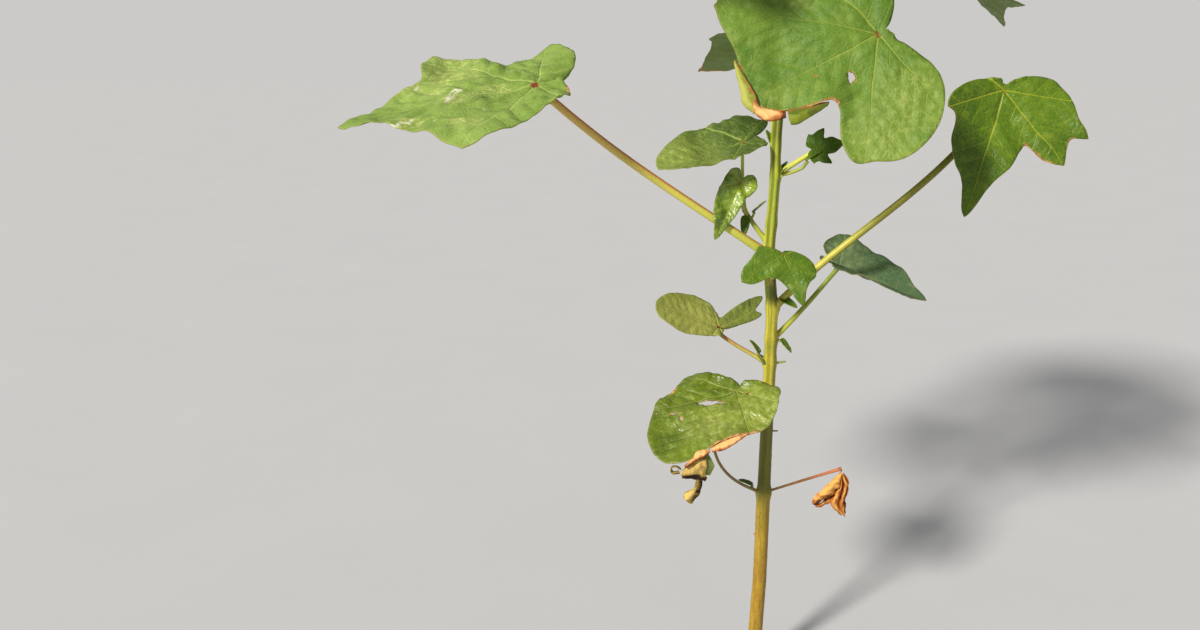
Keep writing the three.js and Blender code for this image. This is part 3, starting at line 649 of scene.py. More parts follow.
# A pale patch and a dry patch are their middle and radius. Most pale patches are real pale mottling. On the
# two low leaves and the shoot's left leaf they are painted light on the lit part of the blade, and on the
# left seed leaf they are partly painted glints and sheen.
PALE_AND_LIT_SPOTS = {
    "leaf_05_big_left": [(0.26, -0.73, 0.26), (0.35, -0.45, 0.26), (0.2, -0.06, 0.14), (0.47, 0.38, 0.12),
                         (0.5, -0.21, 0.1), (0.43, 0.02, 0.14), (0.72, 0.24, 0.14), (0.62, -0.42, 0.2)],
    "leaf_12_big_front": [(0.1, 0.55, 0.4), (0.45, 0.65, 0.42), (0.66, 0.4, 0.16), (0.84, -0.04, 0.14),
                          (0.3, -0.6, 0.2)],
    # Painted light on the lit part near the heart.
    "leaf_02_low_right": [(0.0, 0.12, 0.45), (0.3, -0.1, 0.2)],
    # Painted light on the sunlit left lobe.
    "leaf_01_low_left": [(0.5, 0.05, 0.9)],
    "leaf_10_back": [(0.5, 0.2, 0.14)],
    "leaf_15_front_right": [(0.4, -0.34, 0.14), (0.62, 0.1, 0.08)],
    # Partly painted glints and sheen, partly real pale mottling.
    "seed_leaf_left": [(0.48, 0.05, 0.42), (0.12, 0.38, 0.5), (0.5, -0.37, 0.08)],
    # Painted light on the sunlit tip; the rest of the blade keeps its painted shade.
    "leaf_07_shoot_left": [(0.9, 0.0, 0.85)],
}
DRY_SPOTS = {
    "leaf_12_big_front": [(0.54, 0.0, 0.022)],
    "seed_leaf_left": [(0.54, -0.3, 0.025), (0.52, -0.42, 0.025)],
    "leaf_13_right": [(0.95, 0.06, 0.1)],
    "leaf_11_back_left": [(0.6, -0.62, 0.09)],
}
# A scorched stretch of margin is its first and last angle and its depth.
SCORCHED = {
    "seed_leaf_left": [(-72, -64, 0.05), (8, 52, 0.04)],
    "leaf_12_big_front": [(-24, 8, 0.03), (10, 28, 0.035)],
    "leaf_08_back": [(40, 62, 0.05)],
    "leaf_05_big_left": [(112, 146, 0.025)],
    "leaf_03_hanging_right": [(38, 54, 0.03), (66, 74, 0.02)],
}
# The miner's trails, as the points they wind through.
TRAILS = {
    "leaf_05_big_left": [
        [(0.36, -0.13), (0.38, -0.1), (0.41, -0.09), (0.43, -0.04), (0.47, -0.01), (0.48, 0.05),
         (0.5, 0.08)],
        [(0.38, -0.1), (0.4, -0.13), (0.43, -0.11), (0.45, -0.06), (0.46, -0.02)],
        [(0.46, -0.02), (0.44, 0.01), (0.46, 0.04), (0.48, 0.05)],
        [(0.7, 0.22), (0.72, 0.26), (0.76, 0.24), (0.78, 0.28), (0.82, 0.27)],
        [(0.33, 0.2), (0.34, 0.21)],
        [(0.56, -0.36), (0.57, -0.35)],
        [(0.6, 0.3), (0.61, 0.3)],
    ],
    "leaf_16_back": [[(0.3, 0.1), (0.36, 0.14), (0.38, 0.22), (0.44, 0.24)]],
}
print("marks:", sum(map(len, HOLES.values())), "holes,", sum(map(len, TRAILS.values())), "trails")

# %% How strong a mark is
TRAIL_WIDTH = 0.6
RIM_WIDTH = (0.0, 1.0)
RIM_DRYNESS = 0.6


def trail_points(trail, size):
    """Points stepped along a trail, with one on each side, so that its thin line stays crisp."""
    corners = np.array(trail) * size
    t = np.arange(0, len(corners) - 1, 0.12)
    middle = np.stack([np.interp(t, range(len(corners)), corners[:, k]) for k in (0, 1)], 1)
    way = np.gradient(middle, axis=0)
    way /= np.linalg.norm(way, axis=1)[:, None]
    aside = np.stack([-way[:, 1], way[:, 0]], 1) * 2 * TRAIL_WIDTH
    return np.vstack([middle, middle + aside, middle - aside])


def trail_mark(flat, trails, size):
    """1 along each trail, easing to 0 at twice its width."""
    mark = np.zeros(len(flat))
    for trail in trails:
        corners = np.array(trail) * size
        t = np.arange(0, len(corners) - 1, 0.05)
        middle = np.stack([np.interp(t, range(len(corners)), corners[:, k]) for k in (0, 1)], 1)
        apart = np.linalg.norm(flat[:, None] - middle, axis=2).min(1)
        mark = np.maximum(mark, 1 - smooth_step(apart, 0.8 * TRAIL_WIDTH, 2 * TRAIL_WIDTH))
    return mark


def spot_mark(x, y, spots, core):
    """1 in the middle of each round spot, easing to 0 at its radius."""
    mark = np.zeros(len(x))
    for cx, cy, radius in spots:
        mark = np.maximum(mark, 1 - smooth_step(np.hypot(x - cx, y - cy), core * radius, radius))
    return mark


def rim_mark(flat, holes, size):
    """Strong on the torn rim of each hole, easing to 0 about a millimetre away."""
    mark = np.zeros(len(flat))
    for hole in holes:
        loop = ragged_loop(hole, size, 0.4)
        apart = np.linalg.norm(flat[:, None] - loop, axis=2).min(1)
        mark = np.maximum(mark, RIM_DRYNESS * (1 - smooth_step(apart, *RIM_WIDTH)))
    return mark


def scorch_mark(angle, depth_in, stretches):
    """1 along each scorched stretch of margin; depth_in is how far inside the edge a point lies."""
    mark = np.zeros(len(angle))
    for first, last, depth in stretches:
        middle, half = (first + last) / 2, (last - first) / 2
        there = 1 - smooth_step(np.abs(angle - middle), 0.7 * half, 1.1 * half)
        mark = np.maximum(mark, there * (1 - smooth_step(depth_in, 0.3 * depth, depth)))
    return mark


half_way = float(spot_mark(np.array([0.5]), np.zeros(1), [(0, 0, 1)], 0.0)[0])
print("a spot half-way to its radius:", half_way)

# %% [markdown]
# ## The blade's relief
# The solid's fold, curl and wave come first. Then the finer form: main veins sunk in grooves, side veins
# with the blade quilted up between them, pleats that rise between the lobes, and a rippled edge.

# %% Relief and lifting
SIDE_VEIN_GAP = 0.135
SIDE_VEIN_SLANT = 0.82
GROOVE_WIDTH = 1.2
GROOVE, QUILT, PLEAT, RIPPLE = 0.007, 0.0045, 0.016, 0.010
# Uneven swells are a height, a length and a seed.
SWELLS = [(0.011, 0.5, 0), (0.004, 0.16, 90), (0.0018, 0.07, 180)]
# A soft crease is its two ends, half width and depth, as shares of the leaf's size.
CREASES = {
    "leaf_12_big_front": [((0.28, 0.14), (0.62, 0.5), 0.11, 0.034), ((0.5, -0.5), (0.75, -0.1), 0.16, 0.03)],
    "leaf_05_big_left": [((0.15, 0.08), (0.45, 0.3), 0.09, 0.026), ((0.3, -0.7), (0.5, -0.2), 0.12, 0.025)],
    "leaf_07_shoot_left": [((0.3, -0.35), (0.55, 0.3), 0.14, 0.05)],
    "leaf_03_hanging_right": [((0.2, 0.12), (0.45, 0.36), 0.09, 0.045)],
}


def vein_places(name, x, y):
    """The place along the nearest main vein, the distance from it, and the place among its side veins."""
    angle = np.degrees(np.arctan2(y, x))
    reach = np.hypot(x, y)
    turned = vein_angle(name, angle)
    nearest = np.clip(np.round(turned / VEIN_STEP), -2, 2) * VEIN_STEP
    off = np.radians(turned - nearest)
    along, aside = reach * np.cos(off), reach * np.sin(off)
    phase = (along - SIDE_VEIN_SLANT * np.abs(aside)) / SIDE_VEIN_GAP + 0.5 * (aside > 0)
    return along, aside, phase, off


def blade_relief(leaf, x, y, share, seed):
    """How far the upper face stands off its flat plane, as a share of the leaf's size."""
    angle = np.arctan2(y, x)
    pucker = leaf["pucker"]
    height = leaf["fold"] * np.abs(y) - leaf["curl"] * x * np.abs(x)
    height += leaf["wave"] * share**3 * np.sin(5 * angle)
    along, aside, phase, off = vein_places(leaf["outline"], x, y)
    near_vein = np.exp(-((aside * leaf["size"] / GROOVE_WIDTH) ** 2)) * np.clip(1.1 - along, 0.2, 1)
    quilt = np.cos(2 * math.pi * phase) * smooth_step(np.abs(aside), 0.01, 0.09)
    pleat = (1 - np.cos(np.clip(np.degrees(off) / (VEIN_STEP / 2), -1, 1) * math.pi)) / 2
    inner = 1 - smooth_step(share, 0.8, 1.0)
    height -= GROOVE * near_vein
    height -= pucker * QUILT * quilt * (0.4 + 0.6 * inner)
    height += pucker * PLEAT * pleat * share * (1.2 - share)
    places = np.stack([x, y], 1)
    for rise, length, more in SWELLS:
        height += pucker * rise * waviness(places, length, seed + more)
    for first, last, width, depth in CREASES.get(leaf["name"], ()):
        first, way = np.array(first), np.subtract(last, first)
        away = places - first
        part = np.clip(away @ way / (way @ way), 0, 1)
        apart = np.linalg.norm(away - part[:, None] * way, axis=1)
        height -= depth * np.exp(-((apart / width) ** 2))
    height += RIPPLE * share**6 * np.sin(17 * angle + seed) * (0.6 + 0.4 * np.sin(3 * angle))
    return height


print("soft creases:", sum(len(creases) for creases in CREASES.values()))

# %% A closed blade
BLADE_THICKNESS = 0.38
MAIN_RIB, MAIN_RIB_WIDTH, SIDE_RIB = 0.9, 0.75, 0.28
# The leaf plane that the finish reads is in units of this many millimetres.
PLANE_UNIT = 100


def point_normals(points, triangles):
    """The mean direction of the faces round each point."""
    corners = points[triangles]
    turned = np.cross(corners[:, 1] - corners[:, 0], corners[:, 2] - corners[:, 0])
    normals = np.zeros_like(points)
    for k in range(3):
        np.add.at(normals, triangles[:, k], turned)
    return normals / np.linalg.norm(normals, axis=1)[:, None]


def closed_faces(triangles, count):
    """The net, the same net turned over as its lower face, and a narrow wall along every free edge."""
    directed = np.concatenate([triangles[:, [0, 1]], triangles[:, [1, 2]], triangles[:, [2, 0]]])
    codes = directed[:, 0] * count + directed[:, 1]
    back = directed[:, 1] * count + directed[:, 0]
    rim = directed[~np.isin(codes, back)]
    faces = [tuple(t) for t in triangles.tolist()]
    faces += [tuple(t) for t in (triangles[:, ::-1] + count).tolist()]
    faces += [(b, a, a + count, b + count) for a, b in rim.tolist()]
    return faces


def blade_marks(leaf, flat, share, inset, angle):
    """The values that the finish reads, at each point of the upper face."""
    key, size = leaf["name"], leaf["size"]
    x, y = flat.T / size
    dry = np.maximum(spot_mark(x, y, DRY_SPOTS.get(key, ()), 0.4), rim_mark(flat, HOLES.get(key, ()), size))
    dry = np.maximum(dry, scorch_mark(angle, inset, SCORCHED.get(key, ())))
    return {
        "share": share,
        "under": np.zeros(len(flat)),
        "scorch": dry,
        "size": np.full(len(flat), size / PLANE_UNIT),
        # Pale patches: real mottling on most leaves, painted light on a few.
        "pale": spot_mark(x, y, PALE_AND_LIT_SPOTS.get(key, ()), 0.2),
        "trail": trail_mark(flat, TRAILS.get(key, ()), size),
    }


def blade_form(leaf, foot, spacing, seed):
    """A closed blade: points, faces, the values for its finish, and each point's place on the leaf plane."""
    name, size, key = leaf["outline"], leaf["size"], leaf["name"]
    flat, triangles = net_of(name, size, spacing, HOLES.get(key, ()), TRAILS.get(key, ()))
    x, y = flat.T / size
    angle, reach = np.degrees(np.arctan2(y, x)), np.hypot(x, y)
    edge = reach_at(name, angle)
    share = np.clip(reach / edge, 0, 1)
    height = blade_relief(leaf, x, y, share, seed)
    along, side, out = blade_axes(leaf)
    upper = foot + size * (np.outer(x, along) + np.outer(y, side) + np.outer(height, out))
    main, aside, phase, _ = vein_places(name, x, y)
    rib = MAIN_RIB * np.exp(-((aside * size / MAIN_RIB_WIDTH) ** 2)) * np.clip(1 - main, 0, 1)
    rib += SIDE_RIB * np.clip(np.cos(2 * math.pi * phase) - 0.7, 0, 1) / 0.3 * (1 - share)
    thickness = BLADE_THICKNESS + rib * min(1.0, size / GROWN_SIZE)
    lower = upper - point_normals(upper, triangles) * thickness[:, None]
    count = len(upper)
    values = blade_marks(leaf, flat, share, edge - reach, angle)
    values = {label: np.tile(numbers, 2) for label, numbers in values.items()}
    values["under"][count:] = 1.0
    canon = np.radians(vein_angle(name, angle))
    plane = np.stack([reach * np.cos(canon), reach * np.sin(canon)], 1) * size / PLANE_UNIT
    return np.vstack([upper, lower]), closed_faces(triangles, count), values, np.tile(plane, (2, 1))


print("faces of one closed triangle:", len(closed_faces(np.array([[0, 1, 2]]), 3)))

# %% A blade as an object
# The net's spacing, for leaves larger than a size.
NET_SPACINGS = [(50, 1.15), (25, 0.9), (0, 0.55)]


def blade_object(leaf, foot, material, seed, title):
    """The blade as one object, with its leaf plane as a UV map."""
    spacing = next(gap for larger_than, gap in NET_SPACINGS if leaf["size"] > larger_than)
    points, faces, values, plane = blade_form(leaf, foot, spacing, seed)
    piece = mesh_object(title, points, faces, material, values)
    mesh = piece.data
    corners = np.zeros(len(mesh.loops), np.int32)
    mesh.loops.foreach_get("vertex_index", corners)
    mesh.uv_layers.new(name="leaf_plane").data.foreach_set("uv", plane[corners].astype(np.float32).ravel())
    return piece


print("nets are spaced by", [gap for size, gap in NET_SPACINGS], "mm")

# %% [markdown]
# ## A leaf's finish
# The vein pattern is worked out in the shader from the leaf plane, so it stays sharp however close the
# camera comes. The five main veins lie at even steps of 52 degrees there, so one fold of the angle gives
# the place beside the nearest one. Side veins are slanting lines on both sides of it, and a cell pattern
# makes the finest net. Blades let some light through, which a Translucent shader adds.

# %% The vein pattern
def vein_pattern(f, plane, size):
    """Where the main veins, the side veins and the two nets of fine veins lie on the leaf's plane."""
    bent = f.node("TexNoise", {"Vector": plane, "Scale": 3.2, "Detail": 1.0}).outputs["Color"]
    offset = f.node("VectorMath", {0: bent, 1: (0.5, 0.5, 0.5)}, operation="SUBTRACT").outputs[0]
    offset = f.node("VectorMath", {0: offset, "Scale": 0.035}, operation="SCALE").outputs[0]
    place = f.node("VectorMath", {0: plane, 1: offset}, operation="ADD").outputs[0]
    flat = f.node("SeparateXYZ", {0: place})
    x, y = flat.outputs["X"], flat.outputs["Y"]
    angle = f.math("ARCTAN2", y, x)
    vein_step = math.radians(VEIN_STEP)
    nearest = f.math("ROUND", f.math("DIVIDE", angle, vein_step))
    nearest = f.math("MAXIMUM", f.math("MINIMUM", nearest, 2.0), -2.0)
    off = f.math("SUBTRACT", angle, f.math("MULTIPLY", nearest, vein_step))
    reach = f.math("SQRT", f.math("ADD", f.math("MULTIPLY", x, x), f.math("MULTIPLY", y, y)))
    along = f.math("MULTIPLY", reach, f.math("COSINE", off))
    aside = f.math("MULTIPLY", reach, f.math("SINE", off))
    beside = f.math("ABSOLUTE", aside)
    part = f.math("DIVIDE", along, size)
    main_width = f.math("MULTIPLY", f.math("SUBTRACT", 1.25, part), f.math("MULTIPLY", size, 0.0075))
    main = f.math("SUBTRACT", 1.0, f.step(f.math("DIVIDE", beside, main_width), 0.4, 1.3))
    curved = f.math("MULTIPLY", beside, f.math("ADD", SIDE_VEIN_SLANT, f.math("MULTIPLY", beside, 0.35)))
    half_step = f.math("MULTIPLY", f.math("GREATER_THAN", aside, 0.0), 0.5)
    row = f.math("DIVIDE", f.math("SUBTRACT", along, curved), f.math("MULTIPLY", size, SIDE_VEIN_GAP))
    row = f.math("ADD", row, half_step)
    apart = f.math("ABSOLUTE", f.math("SUBTRACT", f.math("FRACT", f.math("ADD", row, 0.5)), 0.5))
    side = f.math("SUBTRACT", 1.0, f.step(apart, 0.015, 0.06))
    fading = f.math("SUBTRACT", 1.0, f.step(f.math("DIVIDE", beside, size), 0.12, 0.42))
    side = f.math("MULTIPLY", side, fading)
    to_edge = {"feature": "DISTANCE_TO_EDGE"}
    cells = f.node("TexVoronoi", {"Vector": place, "Scale": 42.0}, **to_edge).outputs[0]
    net = f.math("SUBTRACT", 1.0, f.step(cells, 0.02, 0.12))
    fine_cells = f.node("TexVoronoi", {"Vector": place, "Scale": 120.0}, **to_edge).outputs[0]
    fine_net = f.math("SUBTRACT", 1.0, f.step(fine_cells, 0.02, 0.2))
    return {"reach": reach, "main": main, "side": side, "cells": cells, "net": net, "fine net": fine_net}


print("main veins every", VEIN_STEP, "degrees on the leaf plane")

# %% Scorched skin
BURNT_DARK, BURNT_LIGHT, BURNT_RIM = srgb(140, 84, 38), srgb(222, 180, 112), srgb(104, 56, 24)
RUSTY = srgb(176, 160, 68)


def scorched(f, colour, blotch, fibres):
    """The colour with dead, fibrous skin where the leaf is scorched, and where that dead skin lies."""
    ragged = f.math("ADD", f.value("scorch"), f.math("MULTIPLY", f.math("SUBTRACT", blotch, 0.5), 0.7))
    dry = f.step(ragged, 0.4, 0.55)
    burnt = f.mix(f.step(fibres, 0.3, 0.6), BURNT_DARK, BURNT_LIGHT)
    burnt = f.mix(f.step(ragged, 0.66, 0.5), burnt, BURNT_RIM)
    colour = f.tint(colour, f.step(ragged, 0.18, 0.42), 0.6, RUSTY)
    return f.mix(dry, colour, burnt), dry


print("burnt skin as a linear colour:", [round(c, 3) for c in BURNT_LIGHT[:3]])

# %% The leaf finish
DARK_GLAND = srgb(52, 60, 20)
WORN_EDGE = srgb(168, 150, 62)
MINED_SKIN = srgb(212, 212, 136)
TRAIL_WHITE = srgb(232, 230, 200)
HEART_RED = srgb(140, 44, 30)
LIGHT_THROUGH = srgb(176, 196, 40)


def leaf_finish(name, face, shade, vein, under, blush=0.6, veins=1.0, roughness=0.5, through=0.22,
                sheen=0.3, scars=0.22, pale_and_lit_share=0.28):
    """face and shade are the blade's two greens, vein and under the colours of its veins and lower side."""
    f = Finish(name)
    plane = f.node("UVMap", uv_map="leaf_plane").outputs[0]
    size, pale, here = f.value("size"), f.value("pale"), f.here()
    pattern = vein_pattern(f, plane, size)
    main = pattern["main"]
    blotch = f.noise(here, 210.0, 3.0, 0.6)
    grain = f.noise(here, 900.0, 4.0, 0.65)
    fibres = f.noise(here, 520.0, 5.0, 0.7)
    colour = f.mix(f.step(f.noise(here, 38.0, 3.0), 0.35, 0.65), shade, face)
    colour = f.tint(colour, f.step(blotch, 0.48, 0.75), 0.3, vein)
    colour = f.tint(colour, f.step(blotch, 0.5, 0.28), 0.4, shade)
    colour = f.tint(colour, f.step(grain, 0.5, 0.72), 0.24, vein)
    colour = f.tint(colour, f.step(grain, 0.48, 0.3), 0.3, shade)
    # Pale patches lean towards the vein colour: real mottling on most leaves, painted light on a few.
    colour = f.tint(colour, pale, pale_and_lit_share, vein)
    colour = f.mix(f.step(f.value("under"), 0.4, 0.6), colour, under)
    for lines, share in (("net", 0.09), ("side", 0.24), ("main", 0.8)):
        colour = f.tint(colour, pattern[lines], share * veins, vein)
    glands = f.node("TexVoronoi", {"Vector": plane, "Scale": 95.0}).outputs["Distance"]
    colour = f.tint(colour, f.step(glands, 0.13, 0.06), 0.3, DARK_GLAND)
    colour = f.tint(colour, f.step(f.value("share"), 0.98, 1.0), 0.3, WORN_EDGE)
    mottled = f.math("MULTIPLY", pale, f.step(f.noise(here, 420.0, 4.0, 0.65), 0.46, 0.66))
    colour = f.tint(colour, mottled, scars, MINED_SKIN)
    broken = f.step(f.noise(here, 700.0, 3.0), 0.36, 0.5)
    colour = f.tint(colour, f.value("trail"), broken, TRAIL_WHITE)
    star = f.math("SUBTRACT", f.math("DIVIDE", pattern["reach"], size), f.math("MULTIPLY", main, 0.022))
    heart = f.math("SUBTRACT", 1.0, f.step(star, 0.0, 0.02))
    colour = f.tint(colour, heart, blush, HEART_RED)
    colour, dry = scorched(f, colour, blotch, fibres)
    f.put(f.shader.inputs["Base Color"], colour)
    gloss = f.math("ADD", roughness, f.math("MULTIPLY", f.math("SUBTRACT", blotch, 0.5), 0.3))
    f.put(f.shader.inputs["Roughness"], f.math("MAXIMUM", gloss, f.math("MULTIPLY", dry, 0.85)))
    f.shader.inputs["Specular IOR Level"].default_value = sheen
    relief = f.math("ADD", f.math("MULTIPLY", main, -1.0), f.math("MULTIPLY", pattern["side"], -0.4))
    relief = f.math("ADD", relief, f.math("MULTIPLY", f.step(pattern["cells"], 0.0, 0.3), 0.35))
    relief = f.math("ADD", relief, f.math("MULTIPLY", pattern["fine net"], -0.08))
    relief = f.math("ADD", relief, f.math("MULTIPLY", grain, 0.25))
    relief = f.math("ADD", relief, f.math("MULTIPLY", fibres, f.math("MULTIPLY", dry, 0.8)))
    bump = f.node("Bump", {"Strength": 0.6, "Distance": 0.0005, "Height": relief}).outputs[0]
    f.put(f.shader.inputs["Normal"], bump)
    glow = f.node("BsdfTranslucent", {"Color": f.mix(0.35, colour, LIGHT_THROUGH), "Normal": bump})
    both = f.node("MixShader", {0: through, 1: f.shader.outputs[0], 2: glow.outputs[0]})
    f.put(f.output.inputs["Surface"], both.outputs[0])
    return f.material


LOOKS = {
    "grown": leaf_finish("grown leaf", srgb(110, 143, 52), srgb(88, 125, 41), srgb(154, 172, 70),
                         srgb(122, 145, 73), veins=0.85),
    "pale": leaf_finish("pale leaf", srgb(146, 174, 84), srgb(126, 158, 66), srgb(186, 204, 112),
                        srgb(143, 166, 88), blush=0.95, veins=0.75, roughness=0.55, scars=0.85),
    "deep": leaf_finish("deep green leaf", srgb(92, 126, 24), srgb(72, 105, 15), srgb(166, 178, 45),
                        srgb(109, 135, 37), blush=0.1, veins=0.85, roughness=0.4, sheen=0.4),
    # The bluish leaf's blue-green is a painted sky reflection on a shaded blade. Its pale patch near the
    # heart is painted light.
    "bluish": leaf_finish("bluish leaf with painted sky reflection", srgb(84, 112, 76), srgb(62, 92, 58), srgb(158, 174, 122),
                          srgb(108, 130, 88), veins=0.4, roughness=0.48, scars=0.1),
    # The olive leaf's bright vein colour is partly a painted highlight along its folded midrib. Its large
    # pale patch is painted light on the sunlit left lobe.
    "olive": leaf_finish("olive leaf", srgb(144, 160, 76), srgb(116, 138, 66), srgb(226, 220, 116),
                         srgb(168, 175, 102), blush=0.9, veins=0.9, through=0.34, pale_and_lit_share=0.42),
    # The shoot leaf's darker blue-green is painted shade from the big front leaf above it. Its broad pale
    # patch towards the tip is painted light where the sun falls.
    "shoot": leaf_finish("shoot leaf painted half in shade", srgb(91, 114, 57), srgb(74, 100, 46), srgb(186, 206, 96),
                         srgb(118, 140, 74), veins=0.7, pale_and_lit_share=0.4),
    # The seed leaf's light vein colour also colours its pale patches. Those patches are partly painted
    # glints and sheen and partly real pale mottling.
    "seed": leaf_finish("seed leaf", srgb(112, 134, 30), srgb(84, 106, 18), srgb(192, 204, 98),
                        srgb(118, 130, 45), blush=0.3, veins=0.35, roughness=0.32, sheen=0.65, scars=0.4),
    "young": leaf_finish("young leaf", srgb(101, 135, 25), srgb(76, 110, 16), srgb(150, 170, 48),
                         srgb(106, 130, 36), veins=0.9, roughness=0.36, sheen=0.5),
    "fresh": leaf_finish("fresh leaf", srgb(142, 172, 50), srgb(96, 128, 28), srgb(206, 214, 88),
                         srgb(152, 165, 60), veins=0.8, roughness=0.28, sheen=0.8),
    "dark": leaf_finish("dark leaf", srgb(86, 120, 29), srgb(66, 98, 20), srgb(125, 150, 44),
                        srgb(94, 120, 37), veins=0.8),
}
print("leaf finishes:", list(LOOKS))

# %% [markdown]
# ## A finish for folded and dried skin
# Rolled margins and the dead seed leaf are small skins with a tone of their own at each point: 0 is the lit
# colour, 0.5 the middle one and 1 the dark one of creases and free edges. The tones are partly painted light
# and shade, lit on crests and dark in creases, hollows and the parts rolled under. They are partly the real
# dark of dried free edges. Fibres break the tones up.

# %% The fold finish
def fold_finish(name, light, middle, dark, fibre=0.35, roughness=0.8):
    f = Finish(name)
    here = f.here()
    fibres = f.noise(f.here(1.0, 1.0, 0.4), 620.0, 6.0, 0.7)
    blotch = f.noise(here, 260.0, 4.0, 0.6)
    tone = f.math("ADD", f.value("tone"), f.math("MULTIPLY", f.math("SUBTRACT", blotch, 0.5), 0.3))
    tone = f.math("ADD", tone, f.math("MULTIPLY", f.math("SUBTRACT", 0.5, fibres), fibre))
    colour = f.mix(f.step(tone, 0.1, 0.5), light, middle)
    colour = f.mix(f.step(tone, 0.5, 0.9), colour, dark)
    f.put(f.shader.inputs["Base Color"], colour)
    f.put(f.shader.inputs["Roughness"], f.math("ADD", roughness - 0.1, f.math("MULTIPLY", blotch, 0.2)))
    f.shader.inputs["Specular IOR Level"].default_value = 0.25
    height = f.math("ADD", f.math("MULTIPLY", fibres, 0.8), blotch)
    bump = f.node("Bump", {"Strength": 0.6, "Distance": 0.0005, "Height": height}).outputs[0]
    f.put(f.shader.inputs["Normal"], bump)
    return f.material


FOLD_LOOKS = {
    "dead leaf": fold_finish("dead leaf", srgb(226, 168, 90), srgb(176, 106, 44), srgb(108, 56, 22), 0.7),
    "scorched roll": fold_finish("scorched roll", srgb(234, 188, 124), srgb(190, 120, 64), srgb(104, 54, 26),
                                 0.3),
    "dried flap": fold_finish("dried flap", srgb(206, 174, 98), srgb(138, 114, 46), srgb(56, 34, 14), 0.5),
    "pale fold": fold_finish("pale fold", srgb(164, 166, 76), srgb(130, 138, 52), srgb(168, 104, 62), 0.2,
                             0.6),
    "olive fold": fold_finish("olive fold", srgb(122, 132, 36), srgb(82, 100, 26), srgb(146, 96, 44), 0.25,
                              0.6),
    "green fold": fold_finish("green fold", srgb(122, 132, 70), srgb(90, 108, 46), srgb(60, 68, 28), 0.25,
                              0.6),
}
print("fold finishes:", list(FOLD_LOOKS))

# %% [markdown]
# ## A stalk's finish
# Stalks are yellow-green near the stem. Those in the sun blush to pink and end dark red under the blade.
# The value "along" runs from 0 at the stem to 1 at the blade. The sides that don't face up can have a
# colour of their own.

# %% The stalk finish
PALE_STREAK = srgb(196, 190, 104)
DARK_SPECK = srgb(58, 44, 18)


def stalk_finish(name, foot, middle, head, end, below=None, turned=0.45, band=(0.25, -0.45), streaky=0.3):
    """Colours from the stem to the blade, and "below" for the sides whose slope lies past the band."""
    f = Finish(name)
    along = f.value("along")
    streaks = f.noise(f.here(1.0, 1.0, 0.25), 900.0, 3.0)
    blotch = f.noise(f.here(), 160.0, 3.0)
    wander = f.math("ADD", along, f.math("MULTIPLY", f.math("SUBTRACT", blotch, 0.5), 0.35))
    colour = f.mix(f.step(wander, 0.15, 0.5), foot, middle)
    colour = f.mix(f.step(wander, 0.5, 0.85), colour, head)
    colour = f.mix(f.step(along, 0.94, 1.0), colour, end)
    upward = f.node("SeparateXYZ", {0: f.node("NewGeometry").outputs["Normal"]}).outputs["Z"]
    side = f.mix(f.math("MULTIPLY", f.step(wander, 0.3, 0.9), 0.4), below or foot, head)
    colour = f.tint(colour, f.step(upward, *band), turned, side)
    colour = f.tint(colour, f.step(streaks, 0.5, 0.7), streaky, PALE_STREAK)
    specks = f.node("TexVoronoi", {"Vector": f.here(), "Scale": 900.0}).outputs["Distance"]
    colour = f.tint(colour, f.step(specks, 0.2, 0.1), 0.65, DARK_SPECK)
    f.put(f.shader.inputs["Base Color"], colour)
    f.put(f.shader.inputs["Roughness"], f.math("ADD", 0.36, f.math("MULTIPLY", blotch, 0.2)))
    f.shader.inputs["Subsurface Weight"].default_value = 0.06
    f.shader.inputs["Subsurface Scale"].default_value = 0.001
    bump = f.node("Bump", {"Strength": 0.4, "Distance": 0.0003, "Height": streaks}).outputs[0]
    f.put(f.shader.inputs["Normal"], bump)
    return f.material


SKINS = {
    "green": stalk_finish("green stalk", srgb(178, 180, 60), srgb(156, 168, 56), srgb(126, 146, 52),
                          srgb(120, 92, 40)),
    "blushed": stalk_finish("blushed stalk", srgb(188, 156, 62), srgb(212, 130, 80), srgb(222, 128, 96),
                            srgb(92, 36, 24), srgb(208, 212, 86), 0.85, (0.6, 0.25)),
    "bright": stalk_finish("bright stalk", srgb(192, 198, 76), srgb(204, 208, 88), srgb(204, 208, 92),
                           srgb(160, 132, 64)),
    "rosy": stalk_finish("rosy stalk", srgb(176, 164, 72), srgb(172, 134, 76), srgb(176, 110, 66),
                         srgb(150, 60, 40), srgb(170, 168, 76), 0.6, (0.6, 0.25)),
    # The olive stalk darkens towards its head, partly as painted shade from the hanging leaf above it and
    # partly as its own browner colour.
    "olive": stalk_finish("olive stalk", srgb(194, 186, 70), srgb(144, 142, 34), srgb(106, 108, 12),
                          srgb(92, 68, 24), srgb(122, 120, 20), 0.5, streaky=0.12),
    "dull": stalk_finish("dull stalk", srgb(124, 108, 44), srgb(140, 106, 48), srgb(136, 96, 44),
                         srgb(84, 60, 30)),
    "dry": stalk_finish("dry stalk", srgb(138, 106, 48), srgb(168, 108, 60), srgb(196, 112, 74),
                        srgb(120, 56, 34)),
}
print("stalk finishes:", list(SKINS))

# %% [markdown]
# ## Stalks by Geometry Nodes
# A stalk follows a path, so a node tree makes it: the path becomes a curve, a circle is carried along it,
# and its radius comes from named sizes, with a cushion where it leaves the stem and a swelling under the
# blade.

